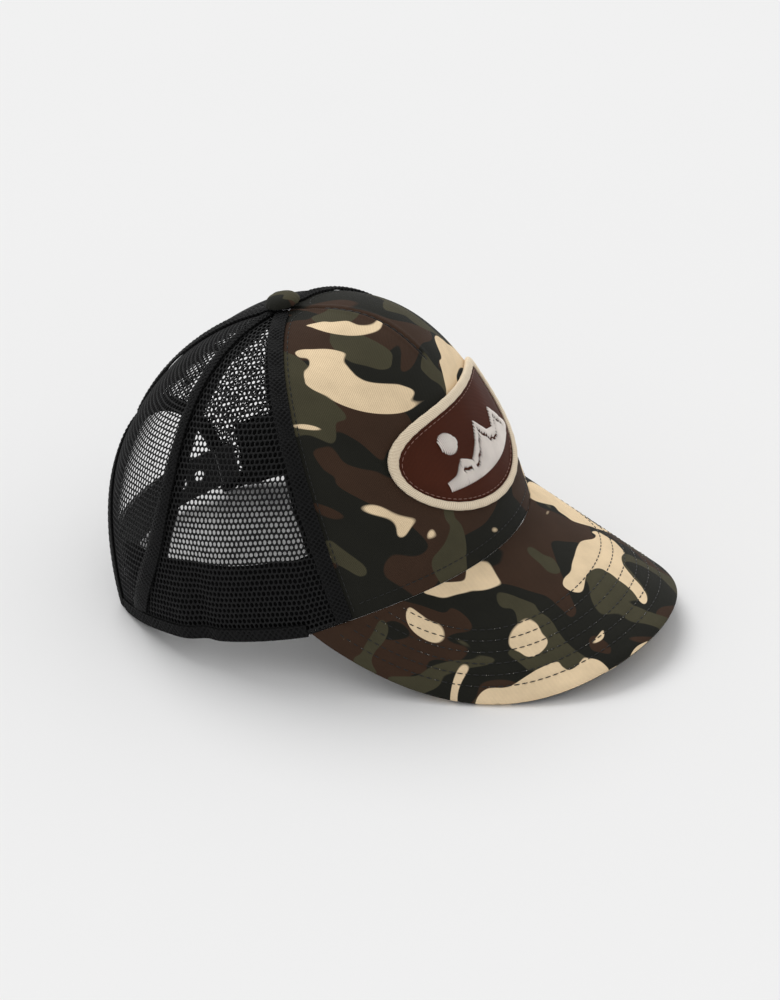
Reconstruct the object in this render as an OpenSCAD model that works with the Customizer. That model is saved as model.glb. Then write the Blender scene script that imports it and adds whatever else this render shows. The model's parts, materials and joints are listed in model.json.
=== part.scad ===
// Trucker mesh cap resting on its visor sides and the back of its crown.
// The cap is drawn level, front towards -Y and wearer's right towards -X, and rest_pose() then
// tips it back onto the floor, with the middle of its footprint at the origin.

/* [Crown] */
// Outside width of the crown at its bottom edge
crown_w = 172; // [150:1:190]
// Outside length of the crown at its bottom edge
crown_l = 190; // [170:1:210]
// Height from the bottom edge to the top
crown_h = 114; // [100:1:130]
// How far the button sits forward of the middle
apex_forward = 10; // [0:1:16]
// Rise of the bottom edge at the middle of the visor
front_arch = 6; // [0:0.5:10]
// Radius of the hole that the panels leave under the button
apex_hole_r = 4.5; // [3:0.1:6]

/* [Panels and seams] */
// Thickness of the twill front panel
twill_t = 0.7; // [0.5:0.1:1.2]
// Thickness of the lining behind the front panel
lining_t = 1; // [0.6:0.1:2]
// Thickness of the mesh panels
mesh_t = 0.8; // [0.5:0.1:1.2]
// Angle from the front to the front seam, at the bottom edge
front_seam_low = 61.5; // [55:0.5:68]
// Angle from the front to the front seam, at the button
front_seam_high = 72; // [65:0.5:78]
// Angle from the front to the side seam, at the bottom edge
side_seam_low = 128; // [122:0.5:131]
// Angle from the front to the side seam, at its most forward
side_seam_mid = 110; // [105:0.5:116]
// Width of the folded seam bands outside
seam_band_w = 7; // [4:0.5:9]
// Thickness of the folded seam bands
seam_band_t = 1.4; // [0.8:0.1:2]
// Width of the tapes inside
tape_w = 12; // [8:0.5:14]
// Thickness of the tapes inside
tape_t = 0.5; // [0.3:0.1:0.8]
// Height of the hem along the mesh
hem_h = 5; // [3:0.5:8]
// Thickness of the hem and of the opening's binding
binding_t = 0.8; // [0.5:0.1:1.2]

/* [Back opening and strap] */
// Half-angle of the opening at the bottom edge
opening_half_angle = 38; // [34:0.5:41]
// Height of the opening's top above the bottom edge
opening_h = 62; // [52:1:72]
// Width of the binding round the opening
arch_band_w = 5.5; // [4:0.5:8]
// Height of the closure strap
strap_h = 18; // [14:0.5:20]
// Height of the strap's lower edge above the bottom edge
strap_lift = 5; // [4:0.5:8]
// Thickness of each half of the strap
strap_t = 1; // [0.8:0.1:1.4]
// Gap between the two halves where they overlap
strap_gap = 0.4; // [0.3:0.1:0.8]
// Distance between studs along the strap
stud_pitch = 9.5; // [9:0.1:10]
// Diameter of a stud
stud_d = 3.4; // [3:0.1:4]
// Room between a stud and its hole, all round
stud_play = 0.9; // [0.8:0.1:1]
// Number of studs, and of holes
stud_count = 7; // [5:1:7]
// Number of studs that are fastened
studs_fastened = 4; // [2:1:4]
// Length of the sewn tab at each end of the strap
tab_l = 9; // [7:0.5:11]

/* [Visor] */
// Length of the visor along its middle
visor_l = 75; // [62:1:80]
// Angle from the front to each end of the visor
visor_end_angle = 71; // [69:0.5:72]
// Downward slope of the visor at its middle
visor_pitch = 35.5; // [30:0.5:44]
// Extra downward slope towards its ends
visor_bend = 9.5; // [6:0.5:20]
// Squareness of the visor's outline, from round to square
visor_corner = 5.5; // [3:0.5:7]
// Thickness of the board inside
board_t = 2; // [1.5:0.1:3]
// Thickness of each visor cover
cover_t = 0.6; // [0.4:0.1:1]
// Distance from the edge of the board to the edge of the covers
board_inset = 3.5; // [2:0.5:6]

/* [Sweatband] */
// Height of the sweatband
sweatband_h = 33; // [28:1:38]
// Thickness of the foam inside
foam_t = 1.2; // [0.8:0.1:2]
// Thickness of the cloth that touches the head
cloth_t = 0.8; // [0.5:0.1:1.2]
// Thickness of the backing behind the foam
backing_t = 0.4; // [0.3:0.1:0.8]

/* [Patch] */
// Width of the patch, measured round the front
patch_w = 106; // [80:1:112]
// Height of the patch
patch_h = 52; // [44:1:58]
// Height of the patch's middle above the bottom edge
patch_mid = 42; // [38:1:52]
// Thickness of the patch
patch_t = 0.9; // [0.6:0.1:1.4]
// Width of the raised border
border_w = 5; // [3:0.5:7]
// Height of the raised border
border_t = 2.6; // [2.2:0.1:3]
// Height of the embroidery on the patch
emblem_t = 0.6; // [0.4:0.1:1]

/* [Button] */
// Diameter of the button
button_d = 15.5; // [13:0.5:18]
// Height of the button's dome
button_h = 5; // [4:0.5:7]
// Diameter of the rivet's pin
rivet_d = 3; // [2.4:0.1:3.4]
// Diameter of the rivet's back plate
rivet_plate_d = 13; // [10:0.5:15]

/* [Label] */
// Width of the care label
label_w = 22; // [16:1:28]
// Length of the care label
label_l = 30; // [20:1:36]
// Thickness of the care label
label_t = 0.4; // [0.3:0.1:0.6]

/* [Hidden] */
$fn = 48;

layer_gap = 0.25;       // room between two layers that lie on each other
seam_gap = 0.2;         // room between the edges of two panels
pivot_gap = 0.35;       // room between a strap half and its sewn tab
half_w = crown_w / 2;
half_l = crown_l / 2;
apex_y = -apex_forward;

// Profile exponents of the crown at its front, side and back: see crown_point().
front_profile = [1.333, 0.27];
side_profile = [2.13, 0.4575];
back_profile = [2.15, 0.5975];

// Where each layer's outer face lies, measured outwards from the crown's outer surface.
lining_off = -twill_t - layer_gap;
tape_off = lining_off - lining_t - layer_gap;
backing_off = tape_off - tape_t - layer_gap;
foam_off = backing_off - backing_t - layer_gap;
cloth_off = foam_off - foam_t - layer_gap;
label_off = cloth_off - cloth_t - layer_gap;
binding_inner_off = -mesh_t - layer_gap - binding_t;
fold_depth = layer_gap + binding_t;    // how far a fold reaches past the edge that it wraps
top_cover_off = 0;
board_off = -cover_t - layer_gap;
under_cover_off = board_off - board_t - layer_gap;
visor_mid_off = (under_cover_off - cover_t) / 2;

seam_bend_at = 0.42;    // how far up the side seam is most forward
side_seam_top_swing = 12;
band_max_angle = 21;    // widest half-angle of a band, where the bands meet at the button
opening_mid = 180;
row_crowding = 1.1;     // above 1, the rows of a sheet crowd towards the button

function mix(from, to, f) = from + (to - from) * f;
function unit(v) = v / norm(v);
function square_of(v) = v * v;

// ---- The crown's surface ----

// Profile exponents round the crown, blended from front or back to side.
function profile_at(a) = mix(cos(a) > 0 ? front_profile : back_profile, side_profile,
                             square_of(sin(a)));

// Height of the bottom edge: it rises under the middle of the front panel.
function edge_z(a) =
    front_arch * max(0, 1 - pow(abs(a) / visor_end_angle, 4));

// A point of the crown: a is the angle from the front towards the wearer's right, t runs from
// 0 at the bottom edge to 1 at the button, off is the distance outside the outer surface.
function crown_point(a, t, off = 0) =
    let (p = profile_at(a),
         reach = pow(cos(90 * t), 2 * p[1]),
         rise = pow(sin(90 * t), 2 / p[0]))
    [-(half_w + off) * sin(a) * reach,
     apex_y + (-(half_l + off) * cos(a) - apex_y) * reach,
     mix(edge_z(a), crown_h + off, rise)];

// t of a point at height z above the bottom edge.
function t_at_height(a, z) =
    asin(pow(max(z, 0) / (crown_h - edge_z(a)), profile_at(a)[0] / 2)) / 90;

// t of a point at distance r from the crown's axis.
function t_at_radius(a, r) = acos(pow(r / half_w, 1 / (2 * profile_at(a)[1]))) / 90;

// Length of one degree round the crown, in mm.
function degree_length(a, t) =
    norm(crown_point(a + 0.5, t) - crown_point(a - 0.5, t));

// ---- Where the seams run ----

function front_seam(t) = mix(front_seam_low, front_seam_high, t);
function side_seam(t) =
    t < seam_bend_at
        ? mix(side_seam_mid, side_seam_low, square_of(1 - t / seam_bend_at))
        : mix(side_seam_mid, side_seam_mid + side_seam_top_swing,
              square_of((t - seam_bend_at) / (1 - seam_bend_at)));

// The half-moon opening: u runs from 0 at the right corner to 1 at the left, and grow is the
// distance outside the opening's edge. Returns [angle, height].
function opening_edge(u, grow = 0) =
    let (swing = 90 - 180 * u,
         spread = opening_half_angle + grow / degree_length(corner_angle, 0))
    [opening_mid - spread * pow(abs(sin(swing)), 0.9) * sign(swing),
     (opening_h + grow) * pow(cos(swing), 0.8)];

// ---- Solids from sections ----

// A section is a strip between two paths with the same number of points.
function strip(path, back_path) =
    concat(path, [for (i = [len(back_path) - 1 : -1 : 0]) back_path[i]]);

function six_volumes(points, faces) =
    [for (f = faces) cross(points[f[0]], points[f[1]]) * points[f[2]]];
function total(list) = list * [for (v = list) 1];

// A solid through a row of strips, closed by the first and last strip, or into a loop.
module skin(strips, loop = false) {
    n = len(strips[0]);
    rows = len(strips);
    last = loop ? rows - 1 : rows - 2;
    points = [for (s = strips) each s];
    walls = [for (i = [0 : last], j = [0 : n - 1])
        let (low = i * n,
             high = (i + 1) % rows * n,
             k = (j + 1) % n)
        each [[low + j, low + k, high + k], [low + j, high + k, high + j]]];
    ends = loop ? [] : [for (j = [0 : n / 2 - 2])
        let (far = (rows - 1) * n,
             k = n - 1 - j)
        each [[j, k, j + 1], [j + 1, k, k - 1],
              [far + j, far + j + 1, far + k], [far + j + 1, far + k - 1, far + k]]];
    faces = concat(walls, ends);
    outward = total(six_volumes(points, faces)) < 0;
    polyhedron(points, outward ? faces : [for (f = faces) [f[2], f[1], f[0]]], convexity = 8);
}

// A curved sheet between two angles, given as functions of t. low(a) and high(a) give t at its
// bottom and top edges.
module sheet(from, to, low, high, off, thick, columns, rows) {
    function angle_at(c, t) = mix(from(t), to(t), c);
    function t_at(c, s) =
        let (guess = angle_at(c, 0.3),
             t0 = low(guess),
             first = angle_at(c, t0),
             bottom = low(first),
             t1 = high(angle_at(c, 0.9)))
        t1 - (t1 - bottom) * pow(1 - s, row_crowding);
    skin([for (r = [0 : rows])
        strip([for (i = [0 : columns])
                  let (t = t_at(i / columns, r / rows))
                  crown_point(angle_at(i / columns, t), t, off)],
              [for (i = [0 : columns])
                  let (t = t_at(i / columns, r / rows))
                  crown_point(angle_at(i / columns, t), t, off - thick)])]);
}

// A band along a seam, narrowing towards the button. low and high are the t of its ends.
module seam_band(seam, low, high, width, off, thick, rows = 18) {
    function half_angle(a, t) =
        min(width / 2 / degree_length(a, t), band_max_angle);
    function across(a, w, t, lift) = crown_point(a + w, t, lift);
    skin([for (r = [0 : rows])
        let (t = high - (high - low) * pow(1 - r / rows, row_crowding),
             a = seam(t),
             w = half_angle(a, t))
        strip([for (side = [-1, -0.6, 0.6, 1])
                  across(a, side * w, t, off - (abs(side) == 1 ? thick * 0.6 : 0))],
              [for (side = [-1, -0.6, 0.6, 1]) across(a, side * w, t, off - thick)])]);
}

// ---- Where the strap lies ----

corner_angle = opening_mid - opening_half_angle;
// Both halves lie on one round arc through the two pivots and the middle of the back.
pivot_d = strap_t + 0.4;  // bead at the root of each half
bead_inset = 0.5;         // how far the bead stops short of the strap's edges
strap_lean = norm(crown_point(corner_angle, 0)
    - crown_point(corner_angle, t_at_height(corner_angle, strap_lift + strap_h))
    + [0, 0, strap_lift + strap_h]);
strap_outer_off = binding_inner_off - layer_gap * 2 - strap_lean;
pivot_angle = corner_angle
    + (fold_depth + pivot_d + 2 * pivot_gap) / degree_length(corner_angle, 0);
pivot_mark = crown_point(pivot_angle, 0, strap_outer_off - strap_t / 2);
back_mark = crown_point(opening_mid, 0, strap_outer_off - strap_t / 2);
strap_rise = back_mark[1] - pivot_mark[1];
holes_r = (square_of(pivot_mark[0]) + square_of(strap_rise)) / (2 * strap_rise);
studs_r = holes_r - strap_t - strap_gap;
strap_centre_y = back_mark[1] - holes_r;
stud_step = stud_pitch / holes_r * 180 / PI;
pivot_turn = asin(abs(pivot_mark[0]) / holes_r);
tip_turn = stud_step * (studs_fastened / 2 + 0.2);
stud_reach = strap_gap + strap_t + 0.3;
strap_mid_z = strap_lift + strap_h / 2;

// ---- Placing the cap on the floor ----

// Length of the visor at an angle, to its edge or to a line that runs inset mm inside the edge.
function visor_reach(a, inset = 0) =
    let (end = visor_end_angle - inset / degree_length(visor_end_angle, 0))
    (visor_l - inset) * sqrt(max(0, 1 - pow(abs(a) / end, visor_corner)));
function visor_slope(a) = visor_pitch + visor_bend * square_of(sin(a));
function visor_root(a) = crown_point(a, 0, layer_gap);
function visor_direction(a) = [0, -cos(visor_slope(a)), -sin(visor_slope(a))];
function visor_normal(a) =
    unit(cross(visor_root(a - 0.5) - visor_root(a + 0.5), -visor_direction(a)));

// A point of the visor, at a distance from the crown.
function visor_point(a, distance, off) =
    visor_root(a) + visor_direction(a) * distance + visor_normal(a) * off;

rim_half = cover_t + layer_gap / 2;     // half the thickness of the visor's edge
visor_rim = [for (a = [0 : 0.25 : visor_end_angle - 1], lift = [-rim_half, rim_half])
    visor_point(a, visor_reach(a), visor_mid_off + lift)];
corner_gap = 1.2;       // room between the hem's ends and the pieces that it meets
hem_start = visor_end_angle + corner_gap / degree_length(visor_end_angle, 0);
hem_end = corner_angle - (arch_band_w + corner_gap) / degree_length(corner_angle, 0);
binding_foot_angle = corner_angle + fold_depth / degree_length(corner_angle, 0);
back_feet = [crown_point(hem_end, 0, fold_depth) - [0, 0, fold_depth],
             crown_point(binding_foot_angle, 0, fold_depth)];
// The cap tips until its visor's lowest side and its lowest back corner touch the floor.
rest_tilt = max([for (p = visor_rim)
    min([for (q = back_feet) atan2(q[2] - p[2], q[1] - p[1])])]);

function tipped(p) =
    [p[0], p[1] * cos(rest_tilt) + p[2] * sin(rest_tilt),
     -p[1] * sin(rest_tilt) + p[2] * cos(rest_tilt)];

front_y = min([for (p = visor_rim) tipped(p)[1]]);
rear_y = max(tipped(back_mark + [0, strap_t / 2, strap_lift + strap_h])[1],
             tipped(crown_point(opening_mid, t_at_height(opening_mid, opening_h), fold_depth))[1]);
floor_z = min([for (q = back_feet) tipped(q)[2]]);

module rest_pose() {
    translate([0, -(front_y + rear_y) / 2, -floor_z])
        rotate([-rest_tilt, 0, 0])
            children();
}

// ---- Front panel and lining ----

module front_panel() {
    edge = function (t) front_seam(t) - seam_gap;
    color([0.16, 0.17, 0.12])
        rest_pose()
            sheet(function (t) -edge(t), edge, function (a) 0,
                  function (a) t_at_radius(a, apex_hole_r), 0, twill_t, 36, 18);
}

module front_lining() {
    inset = 3;
    edge = function (t) front_seam(t) - inset;
    color([0.1, 0.1, 0.1])
        rest_pose()
            sheet(function (t) -edge(t), edge, function (a) 0.01,
                  function (a) t_at_radius(a, apex_hole_r + inset), lining_off, lining_t, 28, 14);
}

// ---- Mesh panels ----

module mesh_side(side) {
    color([0.05, 0.05, 0.05])
        rest_pose()
            sheet(function (t) side * (front_seam(t) + seam_gap),
                  function (t) side * (side_seam(t) - seam_gap),
                  function (a) 0, function (a) t_at_radius(a, apex_hole_r), 0, mesh_t, 14, 16);
}

// Lower edge of a back panel: f runs from the side seam, round the opening, to the back seam.
// Returns [angle, t].
corner_share = 0.3;
function back_panel_edge(f) =
    let (beside = min(1, f / corner_share),
         p = f < corner_share
             ? [mix(side_seam(0) + seam_gap, corner_angle, beside), 0]
             : opening_edge((f - corner_share) / (1 - corner_share) / 2))
    [min(p[0], opening_mid - seam_gap), t_at_height(p[0], p[1])];

module mesh_back(side) {
    columns = 20;
    rows = 14;
    top = t_at_radius(180, apex_hole_r);
    function panel_point(c, r, off) =
        let (edge = back_panel_edge(c / columns),
             t = top - (top - edge[1]) * pow(1 - r / rows, row_crowding),
             climb = (t - edge[1]) / (top - edge[1]),
             seam_share = 1 - c / columns,
             start = side_seam(t) - mix(side_seam(0), side_seam(top), climb),
             high = mix(side_seam(top) + seam_gap, opening_mid - seam_gap, c / columns))
        crown_point(side * (mix(edge[0], high, climb) + seam_share * start), t, off);
    color([0.05, 0.05, 0.05])
        rest_pose()
            skin([for (r = [0 : rows])
                strip([for (c = [0 : columns]) panel_point(c, r, 0)],
                      [for (c = [0 : columns]) panel_point(c, r, -mesh_t)])]);
}

// ---- Seam bands, tapes, hem and binding ----

function above_hem(a) = t_at_height(a, hem_h + 1.5);
function above_edge(a) = t_at_height(a, 1);
band_top_t = t_at_radius(90, apex_hole_r);
tape_top_t = t_at_radius(90, apex_hole_r + 3);
back_band_low_t = t_at_height(opening_mid, opening_h + arch_band_w + 0.5);

module outer_band(seam, low) {
    color([0.03, 0.03, 0.03])
        rest_pose()
            seam_band(seam, low, band_top_t, seam_band_w, layer_gap + seam_band_t, seam_band_t);
}

module inner_tape(seam, low) {
    color([0.07, 0.07, 0.07])
        rest_pose()
            seam_band(seam, low, tape_top_t, tape_w, tape_off, tape_t, 16);
}

// Folded strip that wraps an edge: point(w, off) gives a point w mm in from the edge.
function folded_section(width, point) =
    let (outer = fold_depth,
         inner = binding_inner_off)
    strip([point(width, outer), point(-fold_depth, outer),
           point(-fold_depth, inner), point(width, inner)],
          [point(width, layer_gap), point(-layer_gap, layer_gap),
           point(-layer_gap, inner + binding_t), point(width, inner + binding_t)]);

module hem_band(side) {
    steps = 18;
    color([0.04, 0.04, 0.04])
        rest_pose()
            skin([for (i = [0 : steps])
                let (a = side * mix(hem_start, hem_end, i / steps))
                folded_section(hem_h, function (w, off)
                    w <= 0 ? crown_point(a, 0, off) + [0, 0, w]
                           : crown_point(a, t_at_height(a, w), off))]);
}

module arch_binding() {
    steps = 40;
    color([0.03, 0.03, 0.03])
        rest_pose()
            skin([for (i = [0 : steps])
                folded_section(arch_band_w, function (w, off)
                    let (p = opening_edge(i / steps, w))
                    crown_point(p[0], t_at_height(p[0], p[1]), off))]);
}

module dart_tape() {
    dart_low = t_at_height(0, crown_h * 0.8);
    color([0.07, 0.07, 0.07])
        rest_pose()
            seam_band(function (t) 0, dart_low, t_at_radius(0, apex_hole_r + 3), tape_w,
                      tape_off, tape_t, 8);
}

// ---- Button ----

button_base = crown_h + layer_gap + seam_band_t + layer_gap;
rivet_plate_t = 0.8;
rivet_grip = 3;         // how far the pin reaches into the button
module top_button() {
    dome_r = button_d / 2;
    steps = 10;
    color([0.12, 0.12, 0.09])
        rest_pose()
            translate([0, apex_y, button_base])
                difference() {
                    rotate_extrude()
                        polygon(concat([[0, 0], [dome_r * 0.8, 0]],
                            [for (i = [0 : steps])
                                [dome_r * pow(cos(90 * i / steps), 0.6),
                                 button_h * (0.3 + 0.7 * pow(sin(90 * i / steps), 1.2))]]));
                    translate([0, 0, -1])
                        cylinder(d = rivet_d + 2 * layer_gap, h = rivet_grip + 1 + layer_gap);
                }
}

module button_rivet() {
    // the plate lies under the ends of the tapes, which are lowest at the back
    plate_z = crown_point(opening_mid, tape_top_t, tape_off - tape_t)[2]
        - layer_gap - rivet_plate_t;
    color([0.75, 0.75, 0.78])
        rest_pose()
            translate([0, apex_y, 0])
                union() {
                    translate([0, 0, plate_z])
                        cylinder(d = rivet_plate_d, h = rivet_plate_t);
                    translate([0, 0, plate_z])
                        cylinder(d = rivet_d, h = button_base + rivet_grip - plate_z);
                }
}

// ---- Visor ----

// How far a point of the visor lies inside its outline.
function inside_rim(a, distance) =
    let (end = visor_end_angle
             * pow(max(0, 1 - square_of(distance / visor_l)), 1 / visor_corner))
    max(0, min(visor_reach(a) - distance, (end - abs(a)) * degree_length(a, 0)));

// Share of the way from the full thickness to the closed edge, at a distance inside the outline.
function edge_closing(distance) =
    let (f = max(0, 1 - distance / (board_inset + 0.5)))
    1 - sqrt(1 - f * f);

module visor_sheet(end_angle, inset, off, thick, closing_off, columns, rows) {
    function angle_at(i) = end_angle * sin(180 * i / columns - 90);
    function distance_at(a, r) = visor_reach(a, inset) * (1 - square_of(1 - r / rows));
    function lift(a, distance, level) =
        mix(level, level + closing_off, edge_closing(inside_rim(a, distance)));
    skin([for (r = [0 : rows])
        strip([for (i = [0 : columns])
                  let (a = angle_at(i),
                       distance = distance_at(a, r))
                  visor_point(a, distance, lift(a, distance, off))],
              [for (i = [0 : columns])
                  let (a = angle_at(i),
                       distance = distance_at(a, r))
                  visor_point(a, distance, lift(a, distance, off - thick))])]);
}

cover_end = visor_end_angle - 0.15;
board_end = visor_end_angle - board_inset / degree_length(visor_end_angle, 0) - 0.4;
module visor_top_cover() {
    color([0.16, 0.17, 0.12])
        rest_pose()
            visor_sheet(cover_end, 0, top_cover_off, cover_t,
                        visor_mid_off + cover_t + layer_gap / 2, 44, 10);
}

module visor_under_cover() {
    color([0.16, 0.17, 0.12])
        rest_pose()
            visor_sheet(cover_end, 0, under_cover_off, cover_t,
                        visor_mid_off - under_cover_off - layer_gap / 2, 44, 10);
}

module visor_board() {
    color([0.85, 0.85, 0.82])
        rest_pose()
            visor_sheet(board_end, board_inset, board_off, board_t, 0, 40, 8);
}

// ---- Sweatband ----

sweatband_end = corner_angle - (tab_l + 1) / degree_length(corner_angle, 0);
module sweatband_layer(off, thick, inset) {
    sheet(function (t) -(sweatband_end - inset), function (t) sweatband_end - inset,
          function (a) t_at_height(a, 0.5 + inset),
          function (a) t_at_height(a, sweatband_h - inset), off, thick, 48, 3);
}

module sweatband_cloth() {
    color([0.04, 0.04, 0.04]) rest_pose() sweatband_layer(cloth_off, cloth_t, 0);
}

module sweatband_foam() {
    color([0.2, 0.2, 0.2]) rest_pose() sweatband_layer(foam_off, foam_t, 1);
}

module sweatband_backing() {
    color([0.08, 0.08, 0.08]) rest_pose() sweatband_layer(backing_off, backing_t, 0);
}

// ---- Patch ----

// A point of the front: across and up are mm from the patch's middle, along the surface.
function patch_point(across, up, off) =
    let (t_mid = t_at_height(0, patch_mid),
         climb = norm(crown_point(0, t_mid + 0.01) - crown_point(0, t_mid - 0.01)) / 0.02,
         t = t_mid + up / climb,
         a = across / degree_length(15, t))
    crown_point(a, t, off);

function to_disc(x, y) = [x * sqrt(1 - y * y / 2), y * sqrt(1 - x * x / 2)];

module patch_field() {
    cells = 14;
    half_width = patch_w / 2 - border_w * 0.5;
    half_height = patch_h / 2 - border_w * 0.5;
    function field_point(i, j, off) =
        let (p = to_disc(2 * i / cells - 1, 2 * j / cells - 1))
        patch_point(p[0] * half_width, p[1] * half_height, off);
    color([0.13, 0.06, 0.045])
        rest_pose()
            skin([for (j = [0 : cells])
                strip([for (i = [0 : cells]) field_point(i, j, layer_gap + patch_t)],
                      [for (i = [0 : cells]) field_point(i, j, layer_gap)])]);
}

module patch_border() {
    steps = 60;
    roll = [[-0.5, 0.75], [-0.3, 0.95], [0, 1], [0.3, 0.85], [0.5, 0.3]];
    function under(w) = w > 0 ? layer_gap : patch_t + 2 * layer_gap;
    function border_point(u, w, off) =
        patch_point((patch_w / 2 - border_w / 2 + w) * cos(u),
                    (patch_h / 2 - border_w / 2 + w) * sin(u), off);
    color([0.9, 0.82, 0.66])
        rest_pose()
            skin([for (i = [0 : steps - 1])
                let (u = 360 * i / steps)
                strip([for (p = roll)
                          border_point(u, p[0] * border_w, layer_gap + border_t * p[1])],
                      [for (p = roll) border_point(u, p[0] * border_w, under(p[0]))])],
                 loop = true);
}

// Heights of the ridge line across the emblem, as shares of its height.
ridge_line = [0.1, 0.45, 0.8, 0.5, 0.62, 1, 0.6, 0.35, 0.5, 0.2, 0.1];
emblem_w = 62;
emblem_h = 20;
emblem_base = -12;
sun_r = 5;
module patch_emblem() {
    count = len(ridge_line) - 1;
    climbs = [0, 0.25, 0.5, 0.75, 1];
    function ridge_point(i, climb, off) =
        patch_point((i / count - 0.5) * emblem_w,
                    emblem_base + climb * (2 + ridge_line[i] * emblem_h), off);
    function sun_point(i, j, off) =
        let (p = to_disc(i / 2 - 1, j / 2 - 1))
        patch_point(emblem_w * 0.34 + p[0] * sun_r, emblem_base + emblem_h + p[1] * sun_r, off);
    low = 2 * layer_gap + patch_t;
    high = low + emblem_t;
    color([0.92, 0.9, 0.86])
        rest_pose() {
            skin([for (i = [0 : count])
                strip([for (climb = climbs) ridge_point(i, climb, high)],
                      [for (climb = climbs) ridge_point(i, climb, low)])]);
            skin([for (j = [0 : 4])
                strip([for (i = [0 : 4]) sun_point(i, j, high)],
                      [for (i = [0 : 4]) sun_point(i, j, low)])]);
        }
}

// ---- Closure strap ----

// Moves to the strap's arc at an angle from the back's middle, positive to the wearer's left,
// with +X pointing outwards.
module on_arc(turn) {
    translate([0, strap_centre_y, 0])
        rotate([0, 0, 90 - turn])
            children();
}

// One half of the strap, from the bead at its pivot to a rounded tip.
module strap_half(r, side) {
    tip_r = strap_h / 2 + 1;
    tip_angle = (tip_r - 1) / r * 180 / PI;
    start = side > 0 ? 90 - pivot_turn : 90 - tip_turn;
    difference() {
        translate([0, strap_centre_y, strap_lift])
            rotate([0, 0, start])
                rotate_extrude(angle = pivot_turn + tip_turn, $fn = 180)
                    translate([r - strap_t / 2, 0])
                        square([strap_t, strap_h]);
        on_arc(-side * (tip_turn - tip_angle))
            translate([r, 0, strap_mid_z])
                difference() {
                    translate([-3, side > 0 ? 0 : -2 * tip_r, -tip_r])
                        cube([6, 2 * tip_r, 2 * tip_r]);
                    rotate([0, 90, 0])
                        cylinder(r = tip_r, h = 8, center = true, $fn = 64);
                }
    }
    on_arc(side * pivot_turn)
        translate([r, 0, strap_lift + bead_inset])
            cylinder(d = pivot_d, h = strap_h - 2 * bead_inset, $fn = 32);
}

function stud_turn(k) = stud_step * (k - (studs_fastened - 1) / 2);

module strap_holes() {
    color([0.05, 0.05, 0.05])
        rest_pose()
            difference() {
                strap_half(holes_r, 1);
                for (k = [0 : stud_count - 1])
                    on_arc(stud_turn(k))
                        translate([holes_r - 3, 0, strap_mid_z])
                            rotate([0, 90, 0])
                                cylinder(d = stud_d + 2 * stud_play, h = 6, $fn = 32);
            }
}

module strap_studs() {
    color([0.05, 0.05, 0.05])
        rest_pose()
            union() {
                strap_half(studs_r, -1);
                for (k = [0 : stud_count - 1])
                    on_arc(-stud_turn(k))
                        translate([studs_r, 0, strap_mid_z])
                            rotate([0, 90, 0])
                                cylinder(d = stud_d, h = strap_t / 2 + stud_reach, $fn = 32);
            }
}

// Sewn end of a strap half: it reaches from inside the crown's corner to its pivot.
module strap_tab(r, side) {
    tab_turn = tab_l / r * 180 / PI;
    gap_turn = (pivot_d / 2 + pivot_gap) / r * 180 / PI;
    start = side > 0 ? 90 - pivot_turn - gap_turn - tab_turn : 90 + pivot_turn + gap_turn;
    color([0.05, 0.05, 0.05])
        rest_pose()
            translate([0, strap_centre_y, strap_lift])
                rotate([0, 0, start])
                    rotate_extrude(angle = tab_turn, $fn = 180)
                        translate([r - strap_t / 2, 0])
                            square([strap_t, strap_h]);
}

// ---- Label ----

module care_label() {
    rows = 4;
    color([0.8, 0.8, 0.78])
        rest_pose()
            skin([for (j = [0 : rows])
                let (z = 2 + j / rows * label_l)
                strip([for (i = [0 : 4])
                          let (a = -100 + (i - 2) / 4 * label_w / degree_length(100, 0))
                          crown_point(a, t_at_height(a, z), label_off)],
                      [for (i = [0 : 4])
                          let (a = -100 + (i - 2) / 4 * label_w / degree_length(100, 0))
                          crown_point(a, t_at_height(a, z), label_off - label_t)])]);
}

front_panel();
front_lining();
mesh_side(1);  // mesh_side_right
mesh_side(-1);  // mesh_side_left
mesh_back(1);  // mesh_back_right
mesh_back(-1);  // mesh_back_left
outer_band(function (t) front_seam(t), above_edge(front_seam(0)));  // front_seam_band_right
outer_band(function (t) -front_seam(t), above_edge(front_seam(0)));  // front_seam_band_left
outer_band(function (t) side_seam(t), above_hem(side_seam(0)));  // side_seam_band_right
outer_band(function (t) -side_seam(t), above_hem(side_seam(0)));  // side_seam_band_left
outer_band(function (t) opening_mid, back_band_low_t);  // back_seam_band
hem_band(1);  // hem_band_right
hem_band(-1);  // hem_band_left
arch_binding();
inner_tape(function (t) front_seam(t), above_edge(front_seam(0)));  // front_tape_right
inner_tape(function (t) -front_seam(t), above_edge(front_seam(0)));  // front_tape_left
inner_tape(function (t) side_seam(t), above_hem(side_seam(0)));  // side_tape_right
inner_tape(function (t) -side_seam(t), above_hem(side_seam(0)));  // side_tape_left
inner_tape(function (t) opening_mid, back_band_low_t);  // back_tape
dart_tape();
top_button();
button_rivet();
visor_board();
visor_top_cover();
visor_under_cover();
sweatband_cloth();
sweatband_foam();
sweatband_backing();
patch_field();
patch_border();
patch_emblem();
strap_tab(studs_r, -1);  // strap_tab_right
strap_tab(holes_r, 1);  // strap_tab_left
strap_holes();
strap_studs();
care_label();
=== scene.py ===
import json
import math

import bpy
import numpy as np
from mathutils import Matrix, Vector

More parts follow.
